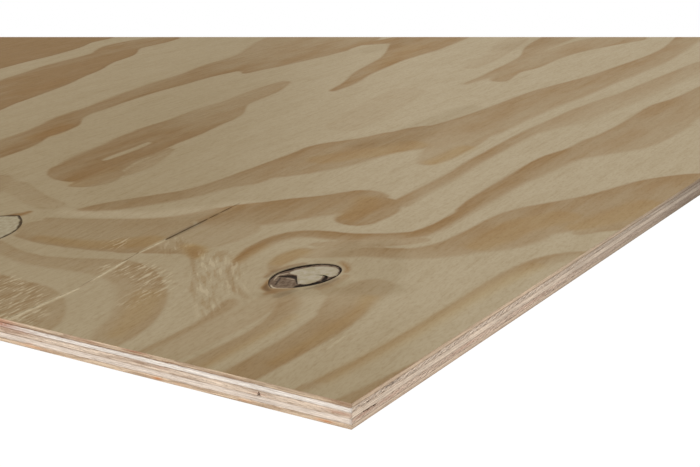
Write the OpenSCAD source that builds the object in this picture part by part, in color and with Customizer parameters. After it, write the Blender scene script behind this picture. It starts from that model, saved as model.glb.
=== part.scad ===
// Five-ply softwood underlayment panel, a full sheet lying flat with its face up.
// The origin is at the middle of the underside. X runs along the sheet, with the grain of
// the face, core and back. Y runs across it, with the grain of the two crossbands. Z is up.
// Places of defects are measured from the near corner, where X and Y are lowest.

/* [Sheet] */
// Length of the sheet, along the grain of its face
sheet_length = 2440; // [600:10:3050]
// Width of the sheet, across the grain of its face
sheet_width = 1220; // [500:10:1530]

/* [Plies] */
// Thickness of the face veneer
face_t = 2.6; // [1.2:0.1:4]
// Thickness of the upper crossband
upper_cross_t = 3.0; // [1.2:0.1:5]
// Thickness of the core veneer
core_t = 3.4; // [1.2:0.1:5]
// Thickness of the lower crossband
lower_cross_t = 3.4; // [1.2:0.1:5]
// Thickness of the back veneer
back_t = 2.6; // [1.2:0.1:4]

/* [Edge-butted strips of the inner plies] */
// Gap left between two strips where they butt
joint_gap = 0.4; // [0.1:0.1:1.5]
// Width of the core's first strip, trimmed with the near long edge
core_first_strip = 16.5; // [10:0.5:400]
// Width of a full core strip
core_strip = 640; // [200:10:1200]
// Width of the upper crossband's first strip, trimmed with the near short edge
upper_first_strip = 735; // [100:5:1200]
// Width of a full strip of the upper crossband
upper_strip = 980; // [300:10:1300]
// Width of the lower crossband's first strip, trimmed with the near short edge
lower_first_strip = 590; // [100:5:1200]
// Width of a full strip of the lower crossband
lower_strip = 1010; // [300:10:1300]

/* [Bark-ringed knot in the face] */
// Place of the knot's widest section along the sheet
knot_x = 166; // [100:1:260]
// Place of the knot's middle across the sheet
knot_y = 138; // [90:0.5:200]
// Reach of the knot's pointed end from its widest section
knot_nose = 33.5; // [22:0.5:55]
// Reach of the knot's blunt end from its widest section
knot_tail = 33; // [20:0.5:40]
// Width of the knot across the grain
knot_width = 38; // [16:0.5:44]
// Turn of the knot's long axis from the grain, in degrees
knot_turn = -8; // [-15:1:15]
// Thickness of the bark round the filled part of the knot
bark_t = 2.2; // [1:0.1:4]
// Place, along the knot, where its own wood ends and the filler starts
wood_end = -11; // [-20:0.5:6]
// Slant of the broken end of the knot's wood from the grain, in degrees
wood_slant = 60; // [40:1:90]

/* [Tight knot in the face] */
// Place of the knot's widest section along the sheet
tight_x = 118; // [80:1:200]
// Place of the knot's middle across the sheet
tight_y = 402; // [330:1:440]
// Reach of the knot's end towards the near short edge
tight_nose = 44; // [34:0.5:60]
// Reach of the knot's end towards the far short edge
tight_tail = 54; // [34:0.5:64]
// Width of the knot across the grain
tight_width = 66; // [30:0.5:68]

/* [End split in the face] */
// Place across the sheet where the split starts at the short edge
split_y = 245; // [210:1:300]
// Reach along the sheet of the part that is closed with filler, from the short edge
split_filled = 183; // [40:1:220]
// Reach along the sheet of the part that stays open, past the filler
split_open = 107; // [20:1:130]
// Width of the split at the short edge
split_mouth = 3.4; // [0.8:0.1:5]
// Width of the split where it ends in the veneer
split_end = 0.7; // [0.3:0.1:2]
// Reach along the sheet of the split's first stretch
split_first = 68; // [20:1:90]
// Reach along the sheet of its middle stretch, where it crosses the fibres
split_cross = 82; // [20:1:120]
// Turn of the first stretch from the grain, in degrees
split_first_turn = 2.6; // [0:0.2:8]
// Turn of the middle stretch from the grain, in degrees
split_cross_turn = 10.8; // [0:0.2:14]
// Turn of the last stretch from the grain, in degrees
split_last_turn = 6.2; // [0:0.2:10]

/* [Gap in the core at the short edge] */
// Place of the gap across the sheet
core_void_y = 59.5; // [30:0.5:120]
// Width of the gap at the underside of the core
core_void_width = 2.4; // [0.6:0.1:6]
// Height of the gap, from the underside of the core
core_void_height = 2.6; // [0.6:0.1:3]
// Depth of the gap, in from the short edge
core_void_depth = 28; // [4:1:80]

/* [Glue void under the core at the long edge] */
// Place of the void's near end along the sheet
glue_void_x = 12.5; // [4:0.5:200]
// Length of the void along the edge
glue_void_length = 14; // [4:0.5:60]
// Height of the void, down from the underside of the core
glue_void_height = 0.8; // [0.3:0.1:1]
// Depth of the void, in from the long edge
glue_void_depth = 9; // [2:0.5:40]

/* [Seats] */
// Gap between a knot, or its filler, and the wood round it
seat_gap = 0.15; // [0.05:0.05:0.4]

/* [Hidden] */
$fn = 96;
// The last strip of a ply is never narrower than this
least_strip = 40;
// How far a cutting shape runs past the surface that it cuts
past = 1;
// Heights of the underside of each ply
lower_cross_z = back_t;
core_z = lower_cross_z + lower_cross_t;
upper_cross_z = core_z + core_t;
face_z = upper_cross_z + upper_cross_t;
// Colours of the woods and the filler
face_colour = [0.66, 0.55, 0.41];
cross_colour = [0.88, 0.80, 0.70];
core_colour = [0.82, 0.74, 0.62];
knot_colour = [0.33, 0.26, 0.21];
tight_colour = [0.63, 0.57, 0.45];
filler_colour = [0.69, 0.63, 0.52];

// Moves its children from the near corner of the sheet to their place round the origin
module from_corner(z = 0) {
    translate([-sheet_length / 2, -sheet_width / 2, z]) children();
}

// Places of the butt joints of a ply: the first after the trimmed strip, then one every full
// strip, and none that would leave a sliver at the far edge
function joints(total, first, full) = [for (p = [first:full:total - least_strip]) p];

// Low and high side of each strip between the joints, half a gap clear of each joint
function strip_sides(total, first, full) =
    let (places = joints(total, first, full))
    [for (i = [0:len(places)]) [
        i == 0 ? 0 : places[i - 1] + joint_gap / 2,
        i == len(places) ? total : places[i] - joint_gap / 2,
    ]];

// A ply whose strips run across the sheet, side by side along it
module cross_ply(first, full, thickness, z) {
    from_corner(z)
        for (side = strip_sides(sheet_length, first, full))
            translate([side[0], 0, 0]) cube([side[1] - side[0], sheet_width, thickness]);
}

// A ply whose strips run along the sheet, side by side across it
module long_ply(first, full, thickness, z) {
    from_corner(z)
        for (side = strip_sides(sheet_width, first, full))
            translate([0, side[0], 0]) cube([sheet_length, side[1] - side[0], thickness]);
}

// Half of a knot's outline: two arcs that start level with the long axis at the widest
// section and meet in a point on that axis. Their radius is rounded to a whole micron, so that
// the arcs of the two halves start from the same point.
module half_outline(reach, half_width) {
    arc_r = round(500 * (reach * reach / half_width + half_width)) / 1000;
    intersection() {
        translate([0, half_width - arc_r]) circle(r = arc_r);
        translate([0, arc_r - half_width]) circle(r = arc_r);
        translate([0, -half_width - past]) square([reach + past, 2 * (half_width + past)]);
    }
}

// A knot's outline, with its nose towards the near short edge, shrunk by inset all round
module knot_outline(nose, tail, width, inset = 0) {
    half_outline(tail - inset, width / 2 - inset);
    mirror([1, 0]) half_outline(nose - inset, width / 2 - inset);
}

// Moves its children to the barked knot's widest section, along its long axis
module at_barked_knot() {
    translate([knot_x, knot_y]) rotate(knot_turn) children();
}

// The side of the barked knot that has lost its wood, past the slanted broken end
module past_knot_wood() {
    reach = knot_nose + knot_tail + knot_width;
    translate([wood_end, 0]) rotate(wood_slant) translate([-reach, -reach]) square([2 * reach, reach]);
}

// The hollow inside the bark that the filler closes
module filler_pocket(inset) {
    intersection() {
        knot_outline(knot_nose, knot_tail, knot_width, inset);
        past_knot_wood();
    }
}

module tight_knot_outline(inset = 0) {
    translate([tight_x, tight_y]) knot_outline(tight_nose, tight_tail, tight_width, inset);
}

// Half the width of the split at a place along the sheet: it narrows evenly to its end
function split_half(place) =
    let (share = place / (split_filled + split_open))
    (split_mouth + (split_end - split_mouth) * share) / 2;

// The split's middle line: three straight stretches, each with a turn of its own
function split_line(place) =
    let (cross_end = split_first + split_cross)
    split_y + min(place, split_first) * tan(split_first_turn)
        + max(0, min(place, cross_end) - split_first) * tan(split_cross_turn)
        + max(0, place - cross_end) * tan(split_last_turn);

// The split as a narrowing band, from one place along the sheet to another
module split_band(from, to) {
    bends = [split_first, split_first + split_cross];
    stops = concat([from], [for (bend = bends) if (bend > from && bend < to) bend], [to]);
    last = len(stops) - 1;
    polygon(concat(
        [for (stop = stops) [stop, split_line(stop) - split_half(stop)]],
        [for (i = [last:-1:0]) [stops[i], split_line(stops[i]) + split_half(stops[i])]]
    ));
}

module face_veneer() {
    color(face_colour) from_corner(face_z) difference() {
        cube([sheet_length, sheet_width, face_t]);
        translate([0, 0, -past]) linear_extrude(face_t + 2 * past) {
            at_barked_knot() knot_outline(knot_nose, knot_tail, knot_width);
            tight_knot_outline();
            split_band(-past, split_filled + split_open);
        }
    }
}

module upper_crossband() {
    color(cross_colour) cross_ply(upper_first_strip, upper_strip, upper_cross_t, upper_cross_z);
}

// The core, with the tapered gap that shows at the near short edge
module core_veneer() {
    color(core_colour) difference() {
        long_ply(core_first_strip, core_strip, core_t, core_z);
        from_corner(core_z) translate([-past, core_void_y, 0]) rotate([90, 0, 90])
            linear_extrude(core_void_depth + past)
                polygon([
                    [-core_void_width / 2, -past],
                    [core_void_width / 2, -past],
                    [core_void_width / 2, 0],
                    [0, core_void_height],
                    [-core_void_width / 2, 0],
                ]);
    }
}

// The lower crossband, with the shallow void that shows under the core at the near long edge
module lower_crossband() {
    color(cross_colour) difference() {
        cross_ply(lower_first_strip, lower_strip, lower_cross_t, lower_cross_z);
        from_corner(core_z - glue_void_height) translate([glue_void_x, -past, 0])
            cube([glue_void_length, glue_void_depth + past, glue_void_height + past]);
    }
}

module back_veneer() {
    color(face_colour) from_corner() cube([sheet_length, sheet_width, back_t]);
}

// The bark ring with the knot's own wood in its pointed end
module barked_knot() {
    color(knot_colour) from_corner(face_z) linear_extrude(face_t) at_barked_knot()
        difference() {
            knot_outline(knot_nose, knot_tail, knot_width, seat_gap);
            filler_pocket(bark_t);
        }
}

module tight_knot() {
    color(tight_colour) from_corner(face_z) linear_extrude(face_t) tight_knot_outline(seat_gap);
}

// Filler in the barked knot's hollow and in the near end of the split
module wood_filler() {
    color(filler_colour) from_corner(face_z) linear_extrude(face_t) {
        at_barked_knot() filler_pocket(bark_t + seat_gap);
        intersection() {
            split_band(-past, split_filled);
            square([sheet_length, sheet_width]);
        }
    }
}

face_veneer();
upper_crossband();
core_veneer();
lower_crossband();
back_veneer();
barked_knot();
tight_knot();
wood_filler();
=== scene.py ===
# %% [markdown]
# A softwood underlayment panel
#
# The real object is a full sheet of pine plywood: five veneers glued with their grain
# crossed, so that the two long edges and the two short edges each show a different mix of
# side grain and end grain. This lesson dresses the plain solids of such a sheet. It shows
# how to draw a growth-ring figure as a distance field, how to bend a regular grid round
# knots and a split, and how to let nodes turn a few attributes into wood.

import math

import bpy
import numpy as np
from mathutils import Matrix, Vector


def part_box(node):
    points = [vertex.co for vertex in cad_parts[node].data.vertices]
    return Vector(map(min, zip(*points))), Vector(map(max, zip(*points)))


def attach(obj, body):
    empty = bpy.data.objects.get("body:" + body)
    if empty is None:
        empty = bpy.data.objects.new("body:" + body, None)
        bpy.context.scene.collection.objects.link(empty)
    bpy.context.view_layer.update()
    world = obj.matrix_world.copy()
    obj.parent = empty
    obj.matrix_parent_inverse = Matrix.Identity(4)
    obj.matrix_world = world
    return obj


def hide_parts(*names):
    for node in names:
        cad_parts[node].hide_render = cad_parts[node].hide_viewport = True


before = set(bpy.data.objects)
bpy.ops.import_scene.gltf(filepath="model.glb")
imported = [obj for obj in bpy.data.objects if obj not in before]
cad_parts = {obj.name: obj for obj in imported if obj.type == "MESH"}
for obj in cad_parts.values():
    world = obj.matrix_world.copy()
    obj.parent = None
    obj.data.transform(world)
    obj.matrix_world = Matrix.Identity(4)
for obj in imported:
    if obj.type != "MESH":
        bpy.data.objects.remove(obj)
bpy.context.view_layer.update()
MM = 0.001
face_low, face_high = (np.array(corner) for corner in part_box("face_veneer"))
length, width = (face_high - face_low)[:2] / MM
PLIES = ("back_veneer", "lower_crossband", "core_veneer", "upper_crossband", "face_veneer")
ply_floor = {name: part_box(name)[0][2] / MM for name in PLIES}
ply_roof = {name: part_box(name)[1][2] / MM for name in PLIES}
top = ply_roof["face_veneer"]
print("sheet", length.round(1), "by", width.round(1), "by", round(top, 1), "mm")

# %% [markdown]
# Places on a sheet are easiest to give as a carpenter would: so many millimetres along and
# so many across from one corner. Every surface below is worked out in those millimetres,
# and one function turns them into metres in the model's own frame.


# %% Millimetres from the near corner to metres in the frame
def in_frame(along, across, height):
    """Points in metres: the near corner plus the distances along X, across Y and up Z."""
    along, across, height = np.broadcast_arrays(along, across, height)
    points = np.stack([along, across, height], axis=-1).reshape(-1, 3) * MM
    return points + [face_low[0], face_low[1], 0.0]


def as_vector(first, second):
    """Two measures of each point as a vector whose third part is zero."""
    return np.stack([first, second, 0 * first], axis=-1)


def ease(value, start, end):
    """Zero before start, one after end, and a smooth cubic step between the two."""
    share = np.clip((value - start) / (end - start), 0, 1)
    return share * share * (3 - 2 * share)


print("near corner at", in_frame(0, 0, top)[0].round(4))

# %% [markdown]
# The camera stands low and close to one corner, with a long lens, so the sheet runs out of
# the picture on both sides. A level cut ends the view of the sheet at the top: the clip
# distance makes it, because every point that far away lies on one level line of the picture.

# %% Camera
CAMERA_PLACE = (-1.84165, -0.99097, 0.32756)
CAMERA_TILT = 73.263
CAMERA_TURN = -58.436
LENS = 77.143
LEVEL_CUT = 1.9231
lens = bpy.data.cameras.new("camera")
lens.lens = LENS
lens.sensor_width = 36
lens.clip_end = LEVEL_CUT
camera = bpy.data.objects.new("camera", lens)
camera.location = CAMERA_PLACE
camera.rotation_euler = (math.radians(CAMERA_TILT), 0, math.radians(CAMERA_TURN))
bpy.context.scene.collection.objects.link(camera)
bpy.context.scene.camera = camera
print("camera", round(math.dist(CAMERA_PLACE, in_frame(0, 0, top)[0]), 3), "m from the corner")

# %% [markdown]
# A material is a small graph. These helpers keep each graph short enough to read: every
# one makes a single node, links what it is given and returns the node's output.


# %% Helpers for materials
BUMP_DEPTH = 0.0003


def linear(red, green, blue):
    """A colour from 0 to 255 on screen as the linear light that a shader works with."""
    parts = np.array([red, green, blue]) / 255
    light = np.where(parts <= 0.04045, parts / 12.92, ((parts + 0.055) / 1.055) ** 2.4)
    return (*light.tolist(), 1.0)


def feed(tree, socket, value):
    """Links a socket to another one, or sets it to a plain value."""
    if isinstance(value, bpy.types.NodeSocket):
        tree.links.new(value, socket)
    else:
        socket.default_value = value


def add(tree, kind, inputs=(), output=0, **settings):
    """One shader node with its settings and inputs; the answer is one of its outputs."""
    made = tree.nodes.new("ShaderNode" + kind)
    for name, value in settings.items():
        setattr(made, name, value)
    for key, value in dict(inputs).items():
        feed(tree, made.inputs[key], value)
    return made.outputs[output]


def sums(tree, operation, first, second=0.0, clamp=False):
    """One step of arithmetic on one or two values."""
    return add(tree, "Math", {0: first, 1: second}, operation=operation, use_clamp=clamp)


def times(tree, first, second, clamp=False):
    """One value multiplied by another."""
    return sums(tree, "MULTIPLY", first, second, clamp)


def blend(tree, share, first, second, kind="MIX"):
    """Two colours mixed by a share, or multiplied, and so on."""
    inputs = {0: share, 6: first, 7: second}
    return add(tree, "Mix", inputs, output=2, data_type="RGBA", blend_type=kind)


def tinted(tree, share, colour, tint):
    """The colour multiplied by a tint, as far as the share says."""
    return blend(tree, share, colour, tint, "MULTIPLY")


def step(tree, value, start, end, low=0.0, high=1.0):
    """Low before start, high after end, and a smooth cubic step between the two."""
    inputs = {"Value": value, "From Min": start, "From Max": end, "To Min": low, "To Max": high}
    return add(tree, "MapRange", inputs, interpolation_type="SMOOTHSTEP")


def attribute(tree, name, kind="Fac"):
    """What the mesh itself says at a point, under this name."""
    return add(tree, "Attribute", output=kind, attribute_name=name)


def grain_noise(tree, place, size, detail=2.0, roughness=0.5):
    """Noise with a feature size of its own along each axis, in the units of the place."""
    scale = tuple(1 / part for part in size)
    stretched = add(tree, "VectorMath", {0: place, 1: scale}, operation="MULTIPLY")
    inputs = {"Vector": stretched, "Scale": 1.0, "Detail": detail, "Roughness": roughness}
    return add(tree, "TexNoise", inputs, output="Fac")


def new_material(name):
    """An empty material with its output and a principled shader."""
    material = bpy.data.materials.new(name)
    material.use_nodes = True
    tree = material.node_tree
    tree.nodes.clear()
    shader = tree.nodes.new("ShaderNodeBsdfPrincipled")
    tree.links.new(shader.outputs[0], tree.nodes.new("ShaderNodeOutputMaterial").inputs[0])
    return material, tree, shader


def dress(tree, shader, colour, roughness, gloss, relief, strength):
    """Gives the shader its colour, its roughness, how much it reflects, and a relief of at
    most BUMP_DEPTH metres as its normal."""
    feed(tree, shader.inputs["Base Color"], colour)
    feed(tree, shader.inputs["Roughness"], roughness)
    shader.inputs["Specular IOR Level"].default_value = gloss
    inputs = {"Height": relief, "Strength": strength, "Distance": BUMP_DEPTH}
    feed(tree, shader.inputs["Normal"], add(tree, "Bump", inputs))


print("helpers ready")

# %% [markdown]
# The sheet lies on a plain pale floor under soft light. To the camera and to reflections
# the floor and the sky are white, but the light that they give the wood is held down, so
# that a colour renders about as it is written. A share of plain diffuse white in the
# floor keeps the sheet's shadow.

# %% Floor, sky and lamp
SKY = 0.52
SUN = 2.0
SUN_SOFTNESS = 28
SUN_HEIGHT = 41
SUN_SIDE = 25
SHADOW_SHARE = 0.05
FLOOR_HALF = 12.0
FLOOR_DROP = 0.0002
PAPER = (250, 250, 250)
GLOW = 1.03


def is_seen(tree):
    """One for camera, glossy and transmitted rays, and zero for the light on the wood."""
    path = tree.nodes.new("ShaderNodeLightPath")
    seen = sums(tree, "MAXIMUM", path.outputs["Is Camera Ray"], path.outputs["Is Glossy Ray"])
    return sums(tree, "MAXIMUM", seen, path.outputs["Is Transmission Ray"])


def make_floor():
    """A wide square just under the sheet, white to the eye and mildly shaded."""
    mesh = bpy.data.meshes.new("floor")
    half = FLOOR_HALF
    corners = [(-half, -half), (half, -half), (half, half), (-half, half)]
    mesh.from_pydata([(x, y, -FLOOR_DROP) for x, y in corners], [], [(0, 1, 2, 3)])
    floor = bpy.data.objects.new("floor", mesh)
    bpy.context.scene.collection.objects.link(floor)
    material = bpy.data.materials.new("floor")
    material.use_nodes = True
    tree = material.node_tree
    tree.nodes.clear()
    paper = add(tree, "BsdfDiffuse", {"Color": linear(*PAPER)})
    glow = add(tree, "Emission", {"Color": (1, 1, 1, 1), "Strength": GLOW})
    share = times(tree, is_seen(tree), 1 - SHADOW_SHARE)
    mixed = add(tree, "MixShader", {0: share, 1: paper, 2: glow})
    tree.links.new(mixed, tree.nodes.new("ShaderNodeOutputMaterial").inputs[0])
    mesh.materials.append(material)


def light_scene():
    """A white sky that lights softly, and one wide sun from the left."""
    world = bpy.data.worlds.new("sky")
    world.use_nodes = True
    bpy.context.scene.world = world
    tree = world.node_tree
    tree.nodes.clear()
    strength = step(tree, is_seen(tree), 0.0, 1.0, SKY, 1.0)
    sky = add(tree, "Background", {"Color": (1, 1, 1, 1), "Strength": strength})
    tree.links.new(sky, tree.nodes.new("ShaderNodeOutputWorld").inputs[0])
    lamp = bpy.data.lights.new("window", "SUN")
    lamp.energy = SUN
    lamp.angle = math.radians(SUN_SOFTNESS)
    window = bpy.data.objects.new("window", lamp)
    window.rotation_euler = (math.radians(90 - SUN_HEIGHT), 0, math.radians(SUN_SIDE - 90))
    bpy.context.scene.collection.objects.link(window)


make_floor()
light_scene()
bpy.context.scene.view_settings.view_transform = "Standard"
print("lit by a sky of", SKY, "and a sun of", SUN)

# %% [markdown]
# The brown figure on the face is latewood: the dark outer part of each growth ring, laid
# open by the knife that peeled the log. Its bands are broad and smooth, so each is drawn
# as a brush stroke: a few listed points, each with half the stroke's width there.
# A pattern from noise alone would never put the bands where this sheet has them.

# %% Strokes of latewood
# Depth of colour, then (along, across, half width) in millimetres, then how far the colour
# fades towards one side: above zero to the stroke's left-hand side, below zero to its right
STROKES = {
    "foot": (0.7, [(-20, 6, 6), (0, 4, 6), (14, 2, 5.5), (40, -1, 5), (70, -5, 5)]),
    "thread": (0.75, [(-20, 33, 4), (0, 31.5, 5), (48, 26.5, 5), (96, 25, 4), (150, 25, 3.8),
        (200, 25, 4.5), (241, 23, 6.5), (277, 15, 9), (300, 2, 10), (308, -12, 9)], -0.85),
    "under_knot": (0.75, [(-20, 72.9, 11.6), (48, 72.6, 11.9), (75, 73, 12.8), (100, 75.4, 13.4),
        (122, 77.5, 12.5)]),
    "under_knot_head": (0.42, [(115, 79, 14), (140, 86, 16.5), (158, 88, 16), (172, 88, 14)], -0.3),
    "under_knot_neck": (0.25, [(146, 100, 8), (151, 110, 7), (156, 117, 5)]),
    "to_nose": (0.75, [(-20, 103, 8), (0, 103, 7.7), (48, 103, 5.8), (72, 104, 6.2), (92, 107.5, 7.2),
        (106, 112.5, 8.5), (118, 120, 9), (127, 129, 8), (131, 137, 5)], -0.45),
    "above_nose": (0.75, [(-20, 140, 4), (0, 140, 4), (48, 140.3, 3.8), (72, 142.5, 5), (90, 145.5, 6.5),
        (99, 149, 5)], -0.4),
    "over_nose": (0.2, [(-20, 126, 10), (50, 126, 11), (90, 127, 10), (112, 131, 8), (124, 134, 6)]),
    "nose_ring": (0.45, [(108, 143, 2), (114, 152, 2.6), (120, 162, 2.8), (128, 171, 2.4), (138, 179, 2.2),
        (150, 187, 2.2), (163, 193, 2.4)]),
    "column": (0.52, [(-20, 168, 10.5), (0, 170, 11), (14, 173, 13), (27, 177, 14.5), (44, 183, 15),
        (70, 198, 16), (92, 217, 16), (106, 236, 17.5), (112, 255, 18.5), (109, 271, 16),
        (104.5, 285, 13.5), (100.5, 300, 11.5), (98, 317, 10), (101, 336, 8.5), (105, 350, 8),
        (112, 366, 7.5)], 0.35),
    "torn_corner": (0.42, [(-20, 232, 22), (0, 236, 25), (20, 252, 27), (36, 270, 24), (40, 290, 21),
        (45, 318, 18)]),
    "hook_left": (0.8, [(138, 362, 7), (137, 342, 8.5), (140, 322, 10), (146, 300, 12), (153, 282, 13),
        (161, 262, 12), (167, 244, 9), (171, 231, 7)], 0.3),
    "hook_fill": (0.42, [(158, 362, 20), (166, 338, 24), (174, 315, 26), (186, 296, 24)]),
    "hook_top": (0.55, [(178, 374, 5), (182, 356, 8), (189, 336, 12), (199, 316, 14), (214, 298, 13),
        (238, 286, 10), (262, 277, 11)], 0.15),
    "hook_across": (0.6, [(150, 276, 10), (180, 282, 13), (215, 284, 14)]),
    "hook_under": (0.28, [(180, 250, 20), (205, 246, 24), (228, 246, 24)]),
    "hook_main": (1.0, [(246, 262, 22), (264, 254, 30), (285, 241, 29), (305, 229, 28), (325, 216, 26),
        (342, 209, 24), (356, 207, 19.5)], -0.4),
    "hook_lower": (0.85, [(338, 189, 24), (325, 181, 20), (304, 178, 17), (298, 178, 17)]),
    "hook_foot": (0.55, [(100, 181, 0.9), (116, 192, 1), (128, 200, 1.1), (140, 210, 1.3), (150, 218, 1.6),
        (157, 224, 2.6), (164, 229, 5)]),
    "long_thin": (0.85, [(352, 172, 9), (384, 174.7, 7.2), (429, 176.5, 7), (461, 179, 6.5),
        (500, 183.5, 7), (550, 187, 7), (600, 190, 7.2), (640, 191.5, 7.6)], -0.3),
    "long_thin_end": (0.62, [(640, 190, 9), (670, 186, 13), (700, 181, 18), (750, 180, 19), (800, 176, 19),
        (850, 173, 17), (950, 171, 16), (1060, 168, 15)], -0.6),
    "outer_arc": (1.15, [(164, 193, 3), (183, 198, 5.2), (200, 201, 5.7), (220, 201.5, 6.3),
        (236, 198, 7.5), (247, 189, 9), (251.5, 177, 10), (253.5, 166, 10.3), (258, 155, 9.8),
        (265, 144, 9.3), (273, 133.5, 9), (281, 125, 9), (290, 119.5, 7.8), (313, 117, 6.6),
        (350, 118, 6.2), (368, 120.5, 8), (400, 123, 10.3), (450, 126.3, 10.7), (481, 126.5, 12.6),
        (526, 127, 15), (550, 126.3, 15.5), (574, 122, 16.5)], -0.5),
    "arc_end": (0.8, [(574, 121, 16.5), (600, 114, 22), (626, 108.5, 28), (650, 104, 29.5),
        (703, 104, 29.5), (760, 107, 30), (805, 109, 30.5), (850, 104, 28.5), (930, 102, 28)], -0.45),
    "between_arcs": (0.38, [(228, 170, 4), (236, 160, 6), (243, 149, 7), (251, 137, 7.5), (260, 126, 7.5),
        (268, 118, 7), (278, 110, 5)]),
    "arc_foot": (0.6, [(350, 22, 4), (367, 14, 6), (381, 3, 7), (392, -8, 7)]),
    "arc_toe": (0.55, [(622, 84, 5), (650, 80, 6), (700, 77, 5), (740, 77, 4)], -0.2),
    "knot_cap": (0.55, [(162, 163, 2), (172, 167, 4.5), (184, 169.5, 7), (198, 170, 8.5),
        (212, 167.5, 7)]),
    "cap_to_arc": (0.26, [(205, 162, 8), (216, 154, 12), (226, 145, 13)]),
    "inner_arc": (0.85, [(215, 148, 8), (226, 138, 10.5), (234, 126, 12), (239, 113, 12.5),
        (247, 99, 12.5), (262, 87, 15.5), (280, 79, 18.5), (300, 71, 25), (322, 66, 29), (348, 65, 30),
        (375, 56, 35), (400, 39, 39.5), (430, 22, 42), (460, 12, 42), (500, 3, 40), (530, -11, 37),
        (548, -27, 35)], -0.45),
    "broad": (0.85, [(210, 371.5, 3.5), (223, 362, 10), (240, 352.5, 13), (256, 345, 12.6),
        (272, 337.5, 12.6), (293, 329, 11.5), (321, 324.5, 11.8), (350, 318, 17), (372, 317, 18),
        (400, 309, 26), (430, 303, 32), (455, 300, 35.5), (475, 299, 37), (500, 291, 33), (521, 282, 33),
        (545, 273, 36)], -0.3),
    "broad_end": (0.85, [(548, 270, 34), (575, 262, 37), (600, 250, 35.5), (650, 247, 31.5),
        (700, 246, 29.5), (750, 245.5, 29), (801, 243.5, 29.5), (850, 240, 26.5), (901, 236, 22),
        (950, 233, 20.5), (1050, 230, 18), (1100, 231.5, 15.5), (1150, 236, 15), (1240, 250, 17)], -0.4),
    "broad_toe": (0.5, [(478, 217.5, 9), (500, 220, 15), (519, 224, 18), (550, 230, 22), (580, 236, 24)],
        0.3),
    "island_head": (0.9, [(281, 440, 13), (293, 446, 25), (304, 450, 30.5), (310, 451, 30)]),
    "island_low": (1.05, [(300, 438, 20), (325, 441, 16), (350, 444.6, 12.8), (375, 447, 12.2),
        (400, 451, 11.2), (425, 456.4, 11.8), (450, 466, 20)]),
    "island_fringe": (0.35, [(312, 412, 5), (340, 417, 8), (370, 425, 7), (400, 435, 5)]),
    "island_high": (0.95, [(306, 460, 18), (325, 472.5, 15.5), (350, 479, 15), (385, 483, 16),
        (414, 488, 17.5), (450, 492, 19)], 0.25),
    "island_body": (0.85, [(440, 478, 28), (460, 480, 32), (500, 484, 29), (528, 488, 29)], 0.1),
    "island_end": (0.65, [(528, 488, 28), (550, 493, 27), (578, 501, 19.5), (600, 505, 15.5),
        (650, 512, 15.5), (675, 516, 14), (715, 523, 7)], 0.3),
    "island_shade": (0.55, [(262, 424, 5), (274, 419, 12), (290, 419, 14), (308, 425, 12)]),
    "right_wedge": (0.9, [(701, 453.5, 4), (749, 461, 7.5), (801, 477, 10.5), (849, 486, 13),
        (901, 495, 16), (949, 504, 25), (975, 509, 31), (1001, 516, 36), (1049, 526, 41), (1085, 533, 43)],
        -0.1),
    "at_the_cut": (0.8, [(930, 602, 3), (960, 586, 7), (985, 572, 11), (1010, 562, 14), (1045, 556, 16)]),
    "right_arm": (0.75, [(808, 351, 3), (850, 350.5, 6), (901, 352, 10), (950, 356, 11), (1001, 364, 12),
        (1049, 379, 14.5), (1080, 385, 17), (1150, 392, 21)], -0.35),
    "right_body": (0.75, [(848, 330, 11), (901, 341, 12), (940, 338, 14), (1000, 343, 16), (1050, 345, 20),
        (1100, 340, 24), (1150, 330, 27), (1190, 318, 27)], 0.4),
    "right_veil": (0.25, [(900, 392, 10), (950, 398, 12), (1000, 407, 13), (1050, 420, 15),
        (1110, 432, 15)], 0.5),
    "right_shade": (0.14, [(560, 352, 18), (640, 366, 22), (740, 384, 20)]),
    "upper": (1.0, [(300, 551, 10), (330, 562, 17), (352, 570, 20), (378, 577, 16.5), (400, 580, 18),
        (428, 588, 18.3), (450, 599, 14.5), (478, 606, 11.5), (500, 608, 11.5), (550, 616.5, 13),
        (600, 623, 15.3), (650, 626.5, 18.5), (700, 629.5, 20.5), (751, 632, 28), (800, 632, 32)], 0.3),
    "upper_toe": (0.85, [(736, 592, 5), (760, 594, 9), (800, 594, 15), (860, 592, 18), (920, 590, 20)]),
    "upper_end": (0.72, [(770, 622, 33), (820, 622, 44), (850, 624, 49), (885, 629, 57), (940, 640, 66),
        (1000, 650, 70)], 0.25),
    "far": (1.25, [(440, 700, 18), (470, 722, 30), (500, 731, 33), (549, 747, 38), (576, 757, 41),
        (613, 767, 38), (649, 776, 37.5), (676, 783, 33.5), (699, 788.5, 30), (726, 792.5, 28),
        (751, 797.5, 27.5), (776, 809, 25)], 0.25),
    "far_end": (0.95, [(770, 808, 26), (800, 820, 25), (850, 818, 23), (884, 812, 12)], 0.2),
    "farthest": (1.35, [(600, 880, 37), (650, 893, 44), (700, 905, 53), (750, 925, 65), (790, 942, 68),
        (830, 944, 69)], 0.1),
    "left_veil": (0.3, [(208, 400, 12), (214, 420, 12), (226, 445, 12), (238, 466, 12)], 0.3),
    "left_spot": (0.6, [(205, 462, 4), (222, 468, 7), (238, 479, 9), (252, 493, 8)], -0.4),
}
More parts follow.
